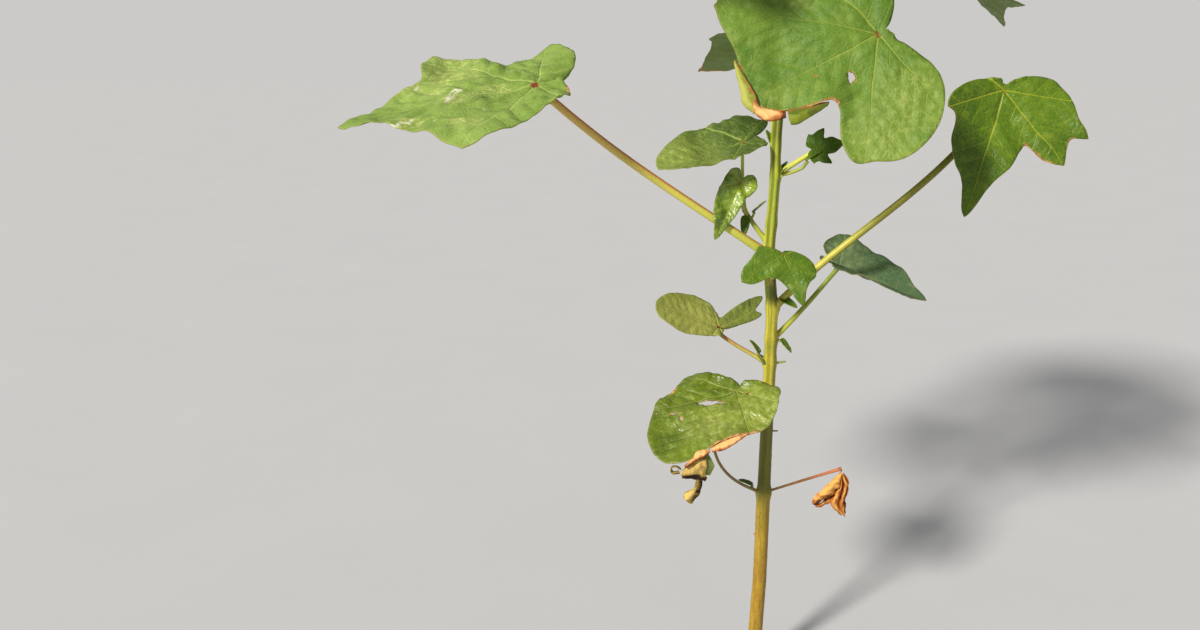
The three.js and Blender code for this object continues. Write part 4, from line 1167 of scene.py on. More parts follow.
# %% A helper for geometry node trees
class Tree:
    """A geometry node tree with named inputs, ending in Realize Instances and Set Material."""

    def __init__(self, name, inputs):
        self.tree = bpy.data.node_groups.new(name, "GeometryNodeTree")
        self.tree.interface.new_socket("Geometry", in_out="INPUT", socket_type="NodeSocketGeometry")
        for label, (kind, default) in inputs.items():
            socket = self.tree.interface.new_socket(label, in_out="INPUT", socket_type="NodeSocket" + kind)
            if default is not None:
                socket.default_value = default
        self.tree.interface.new_socket("Geometry", in_out="OUTPUT", socket_type="NodeSocketGeometry")
        self.inputs = self.node("NodeGroupInput").outputs

    def node(self, kind, inputs=(), **settings):
        node = self.tree.nodes.new(kind)
        for key, value in settings.items():
            setattr(node, key, value)
        for key, value in dict(inputs).items():
            if isinstance(value, bpy.types.NodeSocket):
                self.tree.links.new(value, node.inputs[key])
            else:
                node.inputs[key].default_value = value
        return node

    def math(self, operation, *values):
        return self.node("ShaderNodeMath", dict(enumerate(values)), operation=operation).outputs[0]

    def finish(self, geometry):
        real = self.node("GeometryNodeRealizeInstances", {"Geometry": geometry}).outputs[0]
        material = self.inputs["Material"]
        dressed = self.node("GeometryNodeSetMaterial", {"Geometry": real, "Material": material})
        self.tree.links.new(dressed.outputs[0], self.node("NodeGroupOutput").inputs[0])
        return self.tree


def grown(piece, tree, sizes, name):
    """Runs a node tree on a piece and gives back its result as a plain mesh object."""
    modifier = piece.modifiers.new(tree.name, "NODES")
    modifier.node_group = tree
    for socket in tree.interface.items_tree:
        if socket.in_out == "INPUT" and socket.name in sizes:
            modifier[socket.identifier] = sizes[socket.name]
    bpy.context.view_layer.update()
    graph = bpy.context.evaluated_depsgraph_get()
    mesh = bpy.data.meshes.new_from_object(piece.evaluated_get(graph), depsgraph=graph)
    mesh.name = name
    piece.modifiers.remove(modifier)
    result = bpy.data.objects.new(name, mesh)
    bpy.context.scene.collection.objects.link(result)
    return result


print("node trees so far:", len(bpy.data.node_groups))

# %% The stalk tree
def stalk_tree():
    """A path with its own radius all along: narrowing, a cushion at the foot and a swelling at the head."""
    t = Tree("stalk along a path", {
        "Foot radius": ("Float", 0.0015), "Head radius": ("Float", 0.001), "Cushion": ("Float", 0.35),
        "Cushion share": ("Float", 0.06), "Head swelling": ("Float", 0.3), "Head share": ("Float", 0.04),
        "Sides": ("Int", 12), "Material": ("Material", None),
    })
    curve = t.node("GeometryNodeMeshToCurve", {"Mesh": t.inputs["Geometry"]}).outputs[0]
    along = t.node("GeometryNodeSplineParameter").outputs["Factor"]
    kept = t.node("GeometryNodeStoreNamedAttribute", {"Geometry": curve, "Name": "along", "Value": along},
                  data_type="FLOAT", domain="POINT").outputs[0]
    narrowing = t.math("SUBTRACT", t.inputs["Head radius"], t.inputs["Foot radius"])
    narrowing = t.math("MULTIPLY", along, narrowing)
    radius = t.math("ADD", t.inputs["Foot radius"], narrowing)
    from_foot = t.math("DIVIDE", along, t.inputs["Cushion share"])
    foot = t.math("POWER", math.e, t.math("MULTIPLY", -1.0, from_foot))
    to_head = t.math("DIVIDE", t.math("SUBTRACT", 1.0, along), t.inputs["Head share"])
    head = t.math("POWER", math.e, t.math("MULTIPLY", -1.0, to_head))
    swollen = t.math("ADD", 1.0, t.math("MULTIPLY", foot, t.inputs["Cushion"]))
    swollen = t.math("ADD", swollen, t.math("MULTIPLY", head, t.inputs["Head swelling"]))
    circle = t.node("GeometryNodeCurvePrimitiveCircle", {"Resolution": t.inputs["Sides"], "Radius": 1.0})
    tube = t.node("GeometryNodeCurveToMesh", {
        "Curve": kept, "Profile Curve": circle.outputs[0], "Scale": t.math("MULTIPLY", radius, swollen),
        "Fill Caps": True,
    })
    soft = t.node("GeometryNodeSetShadeSmooth", {"Geometry": tube.outputs[0]})
    return t.finish(soft.outputs[0])


STALK_TREE = stalk_tree()
print("stalk tree:", len(STALK_TREE.nodes), "nodes")

# %% A stalk
STALK_TAPER = 0.82
SHOOT_TAPER = 0.8
CUSHION_LENGTH = 5.0
SWELLING_LENGTH = 2.2


def path_object(points):
    """A bare line of points for a node tree to follow."""
    mesh = bpy.data.meshes.new("path")
    mesh.from_pydata((np.asarray(points) * MM).tolist(), [(i, i + 1) for i in range(len(points) - 1)], [])
    piece = bpy.data.objects.new("path", mesh)
    bpy.context.scene.collection.objects.link(piece)
    return piece


def stalk_object(line, thick, taper, skin, title, cushion=0.45):
    """A stalk's mesh along its line. Its cushion and its swelling keep their length on every stalk."""
    length = float(np.linalg.norm(np.diff(line, axis=0), axis=1).sum())
    path = path_object(line)
    sizes = {
        "Foot radius": thick * MM, "Head radius": thick * taper * MM, "Cushion": cushion,
        "Cushion share": min(0.5, CUSHION_LENGTH / length), "Head swelling": 0.35,
        "Head share": min(0.3, SWELLING_LENGTH / length), "Sides": 14, "Material": SKINS[skin],
    }
    piece = grown(path, STALK_TREE, sizes, title)
    bpy.data.objects.remove(path)
    return piece


print("a stalk's radius at its head is", STALK_TAPER, "of that at its foot")

# %% [markdown]
# ## All leaves
# Each leaf is a blade and a stalk of its own, so that every blade keeps its own pattern and marks.

# %% Grow the leaves
LEAF_SEED = 11


def grow_leaf(leaf, line, seed):
    """A blade, which stands for the leaf's solid, and its stalk along a line."""
    name = leaf["name"]
    blade = blade_object(leaf, line[-1], LOOKS[leaf["look"]], seed, name + "_blade")
    finished(blade, name)
    stalk = stalk_object(led_under(leaf, line), leaf["thick"], STALK_TAPER, leaf["skin"], name + "_stalk")
    finished(stalk)
    return blade


LINES = {leaf["name"]: stalk_line(leaf, stem_middle(leaf["at"])) for leaf in LEAVES}
blade_faces = 0
for seed, leaf in enumerate(LEAVES):
    if leaf["look"] != "withered":
        blade = grow_leaf(leaf, LINES[leaf["name"]], seed + LEAF_SEED)
        blade_faces += len(blade.data.polygons)
print("leaves grown:", len(LEAVES) - 1, "with", blade_faces, "faces in their blades")

# %% [markdown]
# ## Folded margins and the dead seed leaf
# A fold is a thin crumpled skin drawn through a small net of points. Each point is its place along the
# middle lobe, to the left side and off the blade, in millimetres from the leaf's heart, and its tone, which
# paints light on crests and shade in hollows and under rolled parts. The big front leaf's margin is turned
# over to show its lower side, and one stretch is scorched and rolled.
# The left seed leaf has a rolled margin and a dried flap that hangs in a curl. The right seed leaf is
# dead and has shrunk to a few crumpled folds.

# %% The front leaf's folds
# A fold is its leaf, its look, its finish's slot and its nets.
FOLDS = {
    "leaf_12_pale_fold": ("leaf_12_big_front", "pale fold", "leaf", [[
        [(55.3, -24.7, -0.3, 0.6), (56.1, -17.6, -0.3, 0.6), (56.8, -11.4, -0.3, 0.6), (57.5, -6, -0.3, 0.6),
         (59.3, -1.9, -0.3, 0.6)],
        [(56.4, -24.6, 0.2, 0.3), (59, -18.2, 0.3, 0.2), (61.5, -12.3, 0.5, 0.1), (63.7, -7.3, 0.6, 0.1),
         (62.7, -0.8, 0.4, 0.2)],
        [(56.1, -24.7, 0.7, 0.2), (58.6, -17.9, 1.5, 0), (60.3, -11.7, 2.2, 0), (62.1, -6.3, 2.6, 0),
         (62, -1.2, 2, 0.2)],
        [(55.8, -24.9, 0.8, 0.9), (56.9, -17.3, 1.3, 0.9), (57.2, -11.4, 1.6, 0.9), (58.1, -6, 1.8, 1),
         (60.1, -2.1, 1.6, 1)],
    ]]),
    "leaf_12_scorched_roll": ("leaf_12_big_front", "scorched roll", "dried_leaf", [[
        [(57.7, -6.5, 0.2, 0.6), (58.5, -1.7, 0.2, 0.3), (55.4, 1.9, 0.2, 0.2), (51, 5.7, 0.1, 0.8)],
        [(59.5, -5.4, 1.8, 0.5), (59.9, -0.6, 2.4, 0.1), (56.7, 2.7, 2.4, 0.1), (51.7, 6.4, 1.5, 0.9)],
        [(61.7, -3.2, 3, 0.2), (61.2, 1.1, 3.6, 0), (58, 4.4, 3.4, 0.1), (52.4, 7.4, 2, 0.9)],
        [(62.4, -1.4, 2.2, 0.5), (62.2, 2.7, 2.6, 0.6), (59.2, 6.3, 2.4, 0.7), (53, 8.5, 1.2, 1)],
        [(60.9, -0.9, -0.3, 1), (60.1, 2.2, -0.6, 1), (57.5, 5, -0.8, 1), (52.5, 7.2, -0.3, 1)],
    ]]),
    "leaf_12_olive_fold": ("leaf_12_big_front", "olive fold", "leaf", [[
        [(50.3, 5.5, -0.3, 0.4), (45.7, 7.7, -0.3, 0.3), (40.1, 10.3, -0.3, 0.3), (34.3, 12.9, -0.3, 0.4)],
        [(52.7, 11.8, 0.2, 0.3), (49.7, 13.2, 0.3, 0.3), (43.5, 13.7, 0.3, 0.3), (35.5, 13.7, 0.1, 0.5)],
        [(52.3, 9.4, 2, 0), (49, 11, 2.2, 0.1), (42.7, 12.3, 1.6, 0.3), (35.4, 13.5, 0.6, 0.5)],
        [(50.3, 6, 1.2, 1), (45.8, 8.1, 1.3, 0.9), (39.9, 10.6, 1.2, 0.9), (34.4, 12.7, 0.8, 0.9)],
    ]]),
}
print("folds of the front leaf:", len(FOLDS))

# %% The left seed leaf's folds
FOLDS.update({
    "seed_leaf_left_scorched_roll": ("seed_leaf_left", "scorched roll", "dried_leaf", [[
        [(25.2, 20.2, 0.1, 0.6), (29.5, 15.9, 0.2, 0.1), (32, 12.2, 0.2, 0.1), (36.7, 9.3, 0.2, 0.1),
         (40.6, 8.2, 0.1, 0.5)],
        [(26.1, 20.7, 0.4, 0.7), (30.9, 18.3, 1.2, 0.1), (35.3, 16.6, 1.6, 0), (38.6, 14, 1.5, 0),
         (41.6, 9.4, 0.5, 0.4)],
        [(26.3, 20.8, 0.1, 1), (31, 19, 0.3, 0.9), (35.2, 17.2, 0.3, 0.9), (39.6, 14.5, 0.2, 0.9),
         (42.5, 9.8, 0.1, 1)],
        [(25.5, 20.2, -0.5, 1), (29, 17.2, -0.8, 1), (32.6, 14.7, -1, 1), (37.2, 12.2, -1, 1),
         (41, 8.9, -0.6, 1)],
    ], [
        [(41.7, 7.9, 0.1, 0.3), (43, 5, 0.2, 0.1), (45.6, 2.9, 0.2, 0), (49, 3.2, 0.2, 0.2),
         (53.2, 2.3, 0.2, 0.3), (55.9, 2.2, 0.1, 0.6)],
        [(42.9, 9, 0.6, 0.5), (45.8, 7.5, 1.2, 0.1), (48.4, 5.4, 1.2, 0), (51.8, 4.5, 1, 0.3),
         (55.1, 3.6, 0.8, 0.5), (56.4, 2.9, 0.5, 0.8)],
        [(43.5, 9, 0.1, 1), (47.3, 7.6, 0.2, 1), (50.1, 5.8, 0.2, 1), (52.5, 4.7, 0.1, 1),
         (55.1, 3.7, 0, 1), (56.5, 3.1, 0, 1)],
        [(42.5, 8, -0.5, 1), (46, 6, -0.7, 1), (48.4, 4.1, -0.7, 1), (51.4, 3, -0.7, 1),
         (54.1, 2.4, -0.6, 1), (55.7, 2.2, -0.5, 1)],
    ]]),
    "seed_leaf_left_dried_flap": ("seed_leaf_left", "dried flap", "dried_leaf", [[
        [(54.9, 1.5, -1.5, 0.5), (51.4, 3.4, -1.5, 0.3), (47.6, 5.1, -1.4, 0.2), (43.5, 6.9, -1.7, 0.3)],
        [(56.8, 1.5, -1.7, 0.2), (53.6, 3.9, -2.5, 0), (50.3, 6.3, -3.5, 0), (46.6, 8, -4.5, 0.15)],
        [(58.5, 1.1, -3, 0.15), (55.3, 4, -4, 0), (52.5, 6.3, -6.5, 0), (49.4, 8.3, -9.8, 0.3)],
        [(58.1, 0.6, -5.3, 0.95), (54.7, 3, -7, 1), (52.1, 5.5, -9.1, 1), (49.5, 7.8, -12.6, 1)],
        [(57.1, -0.1, -7.9, 1), (54.6, 2.2, -9.9, 1), (52.2, 4.4, -11.8, 1), (49.8, 7.3, -14.8, 1)],
    ], [
        [(58, 1.4, -0.1, 0.6), (59.4, -0.6, 2.1, 0.5), (60.7, -2.1, 1.9, 0.5), (61.5, -2.3, 0.3, 0.5),
         (61.2, -1.1, -1.2, 0.6), (59.2, 1, -2.7, 0.6)],
        [(57.3, 0.8, -0.4, 0.6), (58.5, -1.2, 1.5, 0.6), (59.7, -2.6, 1.3, 0.5), (60.5, -2.8, -0.2, 0.1),
         (60.2, -1.6, -1.6, 0), (58.5, 0.4, -2.9, 0)],
        [(55.6, -0.7, -1.7, 0.8), (56.6, -2.7, -0.3, 0.8), (57.6, -3.8, -0.4, 0.8),
         (58.2, -3.9, -1.5, 0.5), (57.9, -3, -2.7, 0.2), (56.8, -1.3, -3.6, 0.2)],
    ], [
        [(52.3, 4, -11.3, 1), (51.3, 4.9, -12.3, 1), (50.3, 6, -13.6, 1)],
        [(53.4, 4.2, -12.6, 0.8), (52.7, 5.5, -13.5, 0.7), (51.8, 6, -15.6, 1)],
        [(55.9, 3.9, -14.5, 0.6), (55.2, 5.4, -15.2, 0.5), (54.2, 5.8, -18.1, 1)],
        [(58.1, 2.3, -14.8, 0.35), (58.4, 4.2, -16, 0.15), (56.8, 5.3, -19.8, 0.9)],
        [(60, 0.7, -15.8, 0.4), (60.7, 2.7, -17.4, 0.05), (59.5, 3.7, -21.4, 0.6)],
        [(60.8, 0.4, -17.4, 0.6), (61.2, 1.5, -18.6, 0.3), (60.6, 2.2, -20.6, 0.6)],
    ]]),
    "seed_leaf_left_green_fold": ("seed_leaf_left", "green fold", "leaf", [[
        [(43.1, 6.8, -1.4, 0.2), (45.6, 7.4, -4.3, 0.2), (47.6, 7.8, -7.1, 0.2), (49.4, 7.9, -10.1, 0.4)],
        [(42.6, 7.4, -2.4, 0), (43.3, 9.4, -6.5, 0), (44.4, 10.1, -9, 0.1), (47.5, 9.1, -11.7, 0.4)],
    ]]),
})
print("folds with those of the left seed leaf:", len(FOLDS))

# %% The dead seed leaf
FOLDS.update({
    "seed_leaf_right_blade": ("seed_leaf_right", "dead leaf", "dried_leaf", [[
        [(0.9, 0.9, -0.8, 0.4), (5.5, -0.8, -0.8, 0.2), (11, -2.9, 0.2, 0.1), (15.8, -4.8, 0.7, 0.2),
         (20.7, -6.4, 0.6, 0.4), (24.3, -5.6, -0.2, 0.6)],
        [(1.7, 1.2, 0.1, 0.3), (6.3, 0.4, 1.7, 0), (11.9, -1.1, 2.4, 0), (16.8, -2.9, 2.4, 0.05),
         (21, -4.5, 1.5, 0.2), (24.6, -5.1, 0.2, 0.6)],
        [(3.2, 1.6, -0.4, 0.5), (7.8, 2.9, -0.4, 0.4), (14.2, 2, -0.5, 0.5), (18.4, -0.9, -0.1, 0.6),
         (22.6, -3.8, -0.1, 0.8), (25.1, -4.3, -0.7, 0.9)],
        [(4.2, 1.9, -2.3, 1), (9.5, 2.9, -4, 1), (16.2, 2.5, -4.6, 1), (20.6, -0.2, -4.1, 1),
         (24.2, -2.9, -3.1, 1), (25.7, -3.8, -2.6, 1)],
    ], [
        [(15.7, 3.1, -5, 1), (20.3, 0.6, -4.5, 1), (23.8, -2.5, -3.6, 0.9), (25.8, -3.8, -2.8, 0.9)],
        [(17.9, 3.6, -3.9, 0.5), (21.1, 1.2, -2.9, 0.4), (24.1, -1.2, -2.5, 0.5), (26.2, -3.5, -2.3, 0.7)],
        [(20.9, 2.9, -4.4, 0.6), (22.5, 1.9, -4.1, 0.6), (24.8, -0.3, -3.6, 0.7), (26.6, -3, -3, 0.8)],
    ], [
        [(4.5, 2, -2.5, 1), (11.1, 3, -4.2, 1), (16.1, 2.9, -3.9, 0.9), (20.4, 3, -3.8, 0.6),
         (23.3, 6.7, -5, 0.5), (24.6, 11.8, -6.5, 0.5)],
        [(3.6, 1.8, -0.9, 0.4), (9, 3.8, -0.6, 0.3), (14.3, 4.5, -0.5, 0.2), (18.7, 4.8, -1.1, 0.25),
         (21.4, 7.8, -3, 0.2), (24.3, 12.5, -5.5, 0.3)],
        [(3.3, 2.2, -1.7, 0.9), (9, 5.3, -3.4, 1), (14.2, 6.6, -4.1, 1), (18.4, 7.3, -4.4, 0.8),
         (21.3, 9.9, -5, 0.7), (24.6, 13.4, -6.4, 0.8)],
        [(2.2, 2, -0.8, 0.3), (6.7, 5.9, -0.8, 0.15), (11.8, 7.4, -1.6, 0.2), (16.6, 8.2, -2.4, 0.3),
         (20.6, 10.7, -3.9, 0.3), (24.7, 13.9, -6.2, 0.5)],
        [(1.8, 2.5, -1.6, 0.8), (6.9, 7, -3.5, 0.9), (11.7, 8.6, -4.2, 0.9), (16.7, 9.6, -4.9, 0.9),
         (20.9, 11.8, -5.8, 0.8), (24.9, 14.2, -6.9, 0.8)],
        [(1.6, 2.9, -1.4, 0.5), (6.9, 7.8, -2.6, 0.4), (11.8, 8.9, -3.5, 0.5), (16.7, 10.3, -4.5, 0.5),
         (21.2, 12.4, -5.8, 0.6), (25, 14.4, -7.1, 0.8)],
    ]]),
})
print("nets of the dead seed leaf:", len(FOLDS["seed_leaf_right_blade"][3]))

# %% Folds from their nets
FOLD_SEED = 101
FOLD_STEP = 0.4
FOLD_THICKNESS = 0.3
CRUMPLES = {"dead leaf": 0.26, "dried flap": 0.16}
LEAST_CRUMPLE = 0.07
# How much darker a hollow is made: painted shade.
CREASE_SHADE = 0.16
CREASE_LENGTH, FINE_CREASE_LENGTH, DRIFT_LENGTH = 3.6, 1.5, 4.2


def fold_form(net, leaf, foot, crumple, seed):
    """A closed skin through a net of points: its points, faces and tones. Hollows in it are darker, as
    painted shade.
    """
    net = np.array(net, float)
    lengths = [np.linalg.norm(np.diff(net[..., :3], axis=k), axis=-1).sum(k).max() for k in (0, 1)]
    rows, columns = (max(5, int(length / FOLD_STEP)) for length in lengths)
    fine = spline(np.swapaxes(spline(net, rows), 0, 1), columns).swapaxes(0, 1)
    skin = foot + fine[..., :3] @ np.array(blade_axes(leaf))
    normals = np.cross(np.gradient(skin, axis=0), np.gradient(skin, axis=1))
    normals /= np.maximum(np.linalg.norm(normals, axis=-1), 1e-9)[..., None]
    flat = skin.reshape(-1, 3)
    rise = waviness(flat, CREASE_LENGTH, seed) + 0.45 * waviness(flat, FINE_CREASE_LENGTH, seed + 1)
    rise = rise.reshape(rows, columns)
    drift = np.stack([waviness(flat, DRIFT_LENGTH, seed + k) for k in (2, 3, 4)], 1).reshape(skin.shape)
    skin = skin + crumple * (1.2 * drift + rise[..., None] * normals)
    # Painted shade: the hollows of the crumpled skin are made darker.
    tone = fine[..., 3] - CREASE_SHADE * rise
    half = normals * FOLD_THICKNESS / 2
    points = np.vstack([(skin + half).reshape(-1, 3), (skin - half).reshape(-1, 3)])
    at = np.arange(rows * columns).reshape(rows, columns)
    quads = np.stack([at[:-1, :-1], at[1:, :-1], at[1:, 1:], at[:-1, 1:]], -1).reshape(-1, 4)
    rim = np.concatenate([at[:, 0], at[-1, 1:], at[-2::-1, -1], at[0, -2:0:-1]])
    after, under = np.roll(rim, -1), rows * columns
    sides = np.stack([rim, rim + under, after + under, after], 1)
    faces = np.vstack([quads, quads[:, ::-1] + under, sides]).tolist()
    return points, faces, np.tile(tone.ravel(), 2)


def fold_object(name, leaf_name, look, slot, nets, seed):
    """All the nets of one fold as one object."""
    leaf = next(leaf for leaf in LEAVES if leaf["name"] == leaf_name)
    points, faces, tones, first = [], [], [], 0
    for k, net in enumerate(nets):
        crumple = CRUMPLES.get(look, LEAST_CRUMPLE)
        more, more_faces, more_tones = fold_form(net, leaf, LINES[leaf_name][-1], crumple, seed + 7 * k)
        points.append(more)
        faces += [tuple(corner + first for corner in face) for face in more_faces]
        tones.append(more_tones)
        first += len(more)
    piece = mesh_object(name, np.vstack(points), faces, FOLD_LOOKS[look], {"tone": np.concatenate(tones)})
    finished(piece, leaf_name if name == leaf_name + "_blade" else None)


for seed, (name, fold) in enumerate(FOLDS.items()):
    fold_object(name, *fold, 20 * seed + FOLD_SEED)

# The dead leaf's stalk is thin at its foot and gets thicker towards the leaf.
DEAD_FOOT, DEAD_TAPER = 0.6, 1.5
dead = next(leaf for leaf in LEAVES if leaf["look"] == "withered")
dead_radius = DEAD_FOOT * dead["thick"]
dead_stalk = stalk_object(LINES[dead["name"]], dead_radius, DEAD_TAPER, "dry", dead["name"] + "_stalk")
finished(dead_stalk)
print("folds:", len(FOLDS), "pieces from", sum(len(fold[3]) for fold in FOLDS.values()), "nets")

# %% [markdown]
# ## The side shoot
# A short branch leaves the joint of the big left leaf and carries two leaves: a young crumpled one, and a
# larger one on a stalk that stands upright.

# %% The side shoot and its leaves
SHOOT_SEED = 41
SIDE_SHOOT = {"at": 251, "around": 163, "rise": 48, "lift": 56, "sag": 0, "stalk": 22, "thick": 1.3}
# These rows' second column is how far along the shoot a leaf stands.
SHOOT_ROWS = [
    ("leaf_06_shoot_young", 0.8, 225, 55, 78, 0, 20, 0.75, "crumpled", 30, 215, -60, 60, 0.3, 0, 0.04,
     "fresh", "green", 2.5),
    ("leaf_07_shoot_left", 1.0, 125, 80, 90, 0, 34, 0.95, "shootLeaf", 48, 206, -12, 15, 0.2, 0, 0.02,
     "shoot", "bright", 0.8),
]
shoot_line = stalk_line(SIDE_SHOOT, stem_middle(SIDE_SHOOT["at"]))
LINES["side_shoot_left"] = shoot_line
shoot = stalk_object(shoot_line, SIDE_SHOOT["thick"], SHOOT_TAPER, "green", "side_shoot_left")
finished(shoot, "side_shoot_left")
for seed, row in enumerate(SHOOT_ROWS):
    leaf = dict(zip(LEAF_COLUMNS, row))
    start = shoot_line[round(leaf["at"] * (len(shoot_line) - 1))]
    grow_leaf(leaf, stalk_line(leaf, start), seed + SHOOT_SEED)
print("side shoot:", SIDE_SHOOT["stalk"], "mm with", len(SHOOT_ROWS), "leaves")

# %% Small pieces
SMALL_STEP = 0.8
SMALL_CUSHION = 0.1


def joined(pieces, name):
    """Several meshes as one object, with their finishes and values kept."""
    bpy.ops.object.select_all(action="DESELECT")
    for piece in pieces:
        piece.select_set(True)
    bpy.context.view_layer.objects.active = pieces[0]
    bpy.ops.object.join()
    pieces[0].name = pieces[0].data.name = name
    return pieces[0]


def small_leaf(row, start, seed):
    """The blade and the stalk of a leaf too small for a node of its own."""
    leaf = dict(zip(LEAF_COLUMNS, row))
    line = stalk_line(leaf, start, SMALL_STEP)
    blade = blade_object(leaf, line[-1], LOOKS[leaf["look"]], seed, leaf["name"] + "_blade")
    line = led_under(leaf, line)
    title = leaf["name"] + "_stalk"
    return [blade, stalk_object(line, leaf["thick"], STALK_TAPER, leaf["skin"], title, SMALL_CUSHION)]


print("a small stalk is stepped by", SMALL_STEP, "mm")

# %% [markdown]
# ## The growing tip and the smallest parts
# At the top three folded leaves stand together. Lower down a tiny leaf sits in the angle of some stalks,
# the upper stalks have a pair of stipules at their foot, and fallen stalks have left stubs.

# %% Tip leaves
TIP_SEED, AXIL_SEED, STIPULE_SEED = 61, 71, 81
TIP_ROWS = [
    ("tip_a", 0, 66, 70, 62, 0, 13, 0.9, "slim", 17, 66, 34, 0, 0.35, 0, 0, "young", "green", 1.0),
    ("tip_b", 0, 204, 76, 70, 0, 10, 0.8, "slim", 14, 204, 46, 0, 0.35, 0, 0, "young", "green", 1.0),
    ("tip_c", 0, 330, 82, 80, 0, 9, 0.8, "slim", 12, 330, 60, 0, 0.35, 0, 0, "young", "green", 1.0),
]
tip_start = stem_middle(STEM_TOP)
tip_pieces = []
for seed, row in enumerate(TIP_ROWS):
    tip_pieces += small_leaf(row, tip_start, seed + TIP_SEED)
finished(joined(tip_pieces, "tip_leaves"), "tip_leaves")
print("tip leaves:", len(TIP_ROWS))

# %% Tiny leaves in the angles of stalks
# The stalk that each starts on and how far along it, and then a leaf's row.
AXIL_ROWS = [
    ("seed_leaf_left", 0.07, "axil_a", 0, 196, 50, 60, 0, 5, 0.6, "slim", 8, 188, 24, 10, 0.3, 0, 0,
     "dark", "green", 1.0),
    ("leaf_01_low_left", 0.13, "axil_b", 0, 186, 62, 72, 0, 5, 0.65, "slim", 8, 175, 52, 20, 0.3, 0, 0,
     "young", "green", 1.0),
    ("leaf_02_low_right", 0.05, "axil_c", 0, 330, -10, -10, 0, 4, 0.7, "slim", 8, 318, -42, 0, 0.3, 0, 0,
     "young", "green", 1.0),
    ("leaf_09_young_right", 0.14, "axil_d", 0, -8, 14, 40, 0, 14, 0.9, "slim", 8, 0, 30, 0, 0.3, 0, 0,
     "young", "green", 1.0),
    ("side_shoot_left", 0.9, "axil_e", 0, 262, -24, -40, 0, 4, 0.7, "slim", 9, 255, -72, 10, 0.3, 0, 0,
     "dark", "green", 1.0),
    ("side_shoot_left", 0.78, "axil_f", 0, 330, 40, 66, 0, 4, 0.6, "slim", 8, 340, 44, 0, 0.3, 0, 0,
     "young", "green", 1.0),
    ("leaf_03_hanging_right", 0.03, "axil_g", 0, 322, 44, 60, 0, 4, 0.7, "slim", 9, 318, -20, -20, 0.3, 0,
     0, "dark", "green", 1.0),
]
small_pieces = []
for seed, (host, share, *row) in enumerate(AXIL_ROWS):
    line = LINES[host]
    small_pieces += small_leaf(row, line[round(share * (len(line) - 1))], seed + AXIL_SEED)
print("tiny leaves:", len(AXIL_ROWS))

# %% Stipules
# Two stipules, small pointed scales, stand at the foot of each upper stalk and of the low left one. Their
# feet are a little inside the bark.
STIPULE_FROM = 280
STIPULE_TURN = 32
STIPULE_DEPTH = 0.85
STIPULE_LENGTHS = {-1: 4.3, 1: 6.7}
for seed, leaf in enumerate(LEAVES):
    if leaf["at"] > STIPULE_FROM or leaf["name"] == "leaf_01_low_left":
        for side, length in STIPULE_LENGTHS.items():
            turn = leaf["around"] + side * STIPULE_TURN
            way = np.array([math.cos(math.radians(turn)), math.sin(math.radians(turn)), 0])
            foot = stem_middle(leaf["at"]) + STIPULE_DEPTH * stem_radius(leaf["at"]) * way
            row = ("stipule", 0, turn, 60, 66, 0, 1.2, 0.45, "slim", length, turn, 62, 0, 0.3, 0.2, 0,
                   "young", "green", 0.5)
            small_pieces += small_leaf(row, foot, seed + STIPULE_SEED)
finished(joined(small_pieces, "axil_leaves"))
print("tiny leaves and stipules joined:", len(small_pieces) // 2)

# %% Stubs
STUB_TAPER = 0.5
STUB_CUSHION = 0.6
# A stub is its height, direction, climb, length, radius and skin.
STUBS = [
    (149.5, -8, 4, 6.0, 0.5, "dull"),
    (187.5, 8, 6, 8.5, 0.7, "green"),
    (84.0, 140, 20, 5.4, 0.6, "dry"),
]
stub_pieces = []
for height, around, climb, length, thick, skin in STUBS:
    turn, climb = math.radians(around), math.radians(climb)
    way = np.array([math.cos(climb) * math.cos(turn), math.cos(climb) * math.sin(turn), math.sin(climb)])
    steps = np.linspace(0, length, 9)[:, None]
    line = stem_middle(height) + steps * way
    stub_pieces.append(stalk_object(line, thick, STUB_TAPER, skin, "stub", STUB_CUSHION))
finished(joined(stub_pieces, "stem_stubs"))
print("stubs:", len(STUBS))

# %% [markdown]
# ## The stem
# Rings of points up the stem's line, pushed in and out by the form of a cotton stem: a cushion under each
# stalk, two ridges that run down from it, five long ribs, fine wrinkles, and raised pores on the older
# bark.

# %% Cushions and pores on the stem
# Depths and half widths, in millimetres or radians. A cushion's depth is a share of its stalk's radius, and
# a ridge's a share of the stem's.
CUSHION_DEPTH, CUSHION_HALF_HEIGHT, CUSHION_HALF_ANGLE = 0.42, 3.4, 0.62
RIDGE_DEPTH, RIDGE_HALF_ANGLE = 0.085, 0.16
PORES, PORE_SEED = 70, 8
PORE_LOWEST, PORE_TOP = 4, 185.0
PORE_HEIGHT, PORE_HALF_WIDTH, PORE_HALF_LENGTH = 0.1, 0.42, 0.95


def angle_between(turn, angle):
    return (turn - angle + math.pi) % (2 * math.pi) - math.pi


def with_cushions(z, turn, plain, radius, rib):
    """A cushion under each stalk, with two ridges that run down from its sides."""
    for stalk in [*LEAVES, SIDE_SHOOT]:
        off = angle_between(turn, math.radians(stalk["around"]))
        below = stalk["at"] + 1.5 - z
        cushion = np.exp(-((below / CUSHION_HALF_HEIGHT) ** 2)) * np.exp(-((off / CUSHION_HALF_ANGLE) ** 2))
        radius = radius + CUSHION_DEPTH * stalk["thick"] * cushion
        for side in (-1, 1):
            ridge = np.exp(-(((off - side * CUSHION_HALF_ANGLE) / RIDGE_HALF_ANGLE) ** 2))
            fade = smooth_step(below, -1, 2) * (1 - smooth_step(below, 6, 42))
            radius = radius + RIDGE_DEPTH * plain * ridge * fade
            rib = np.maximum(rib, 2 * ridge * fade - 1)
    return radius, rib


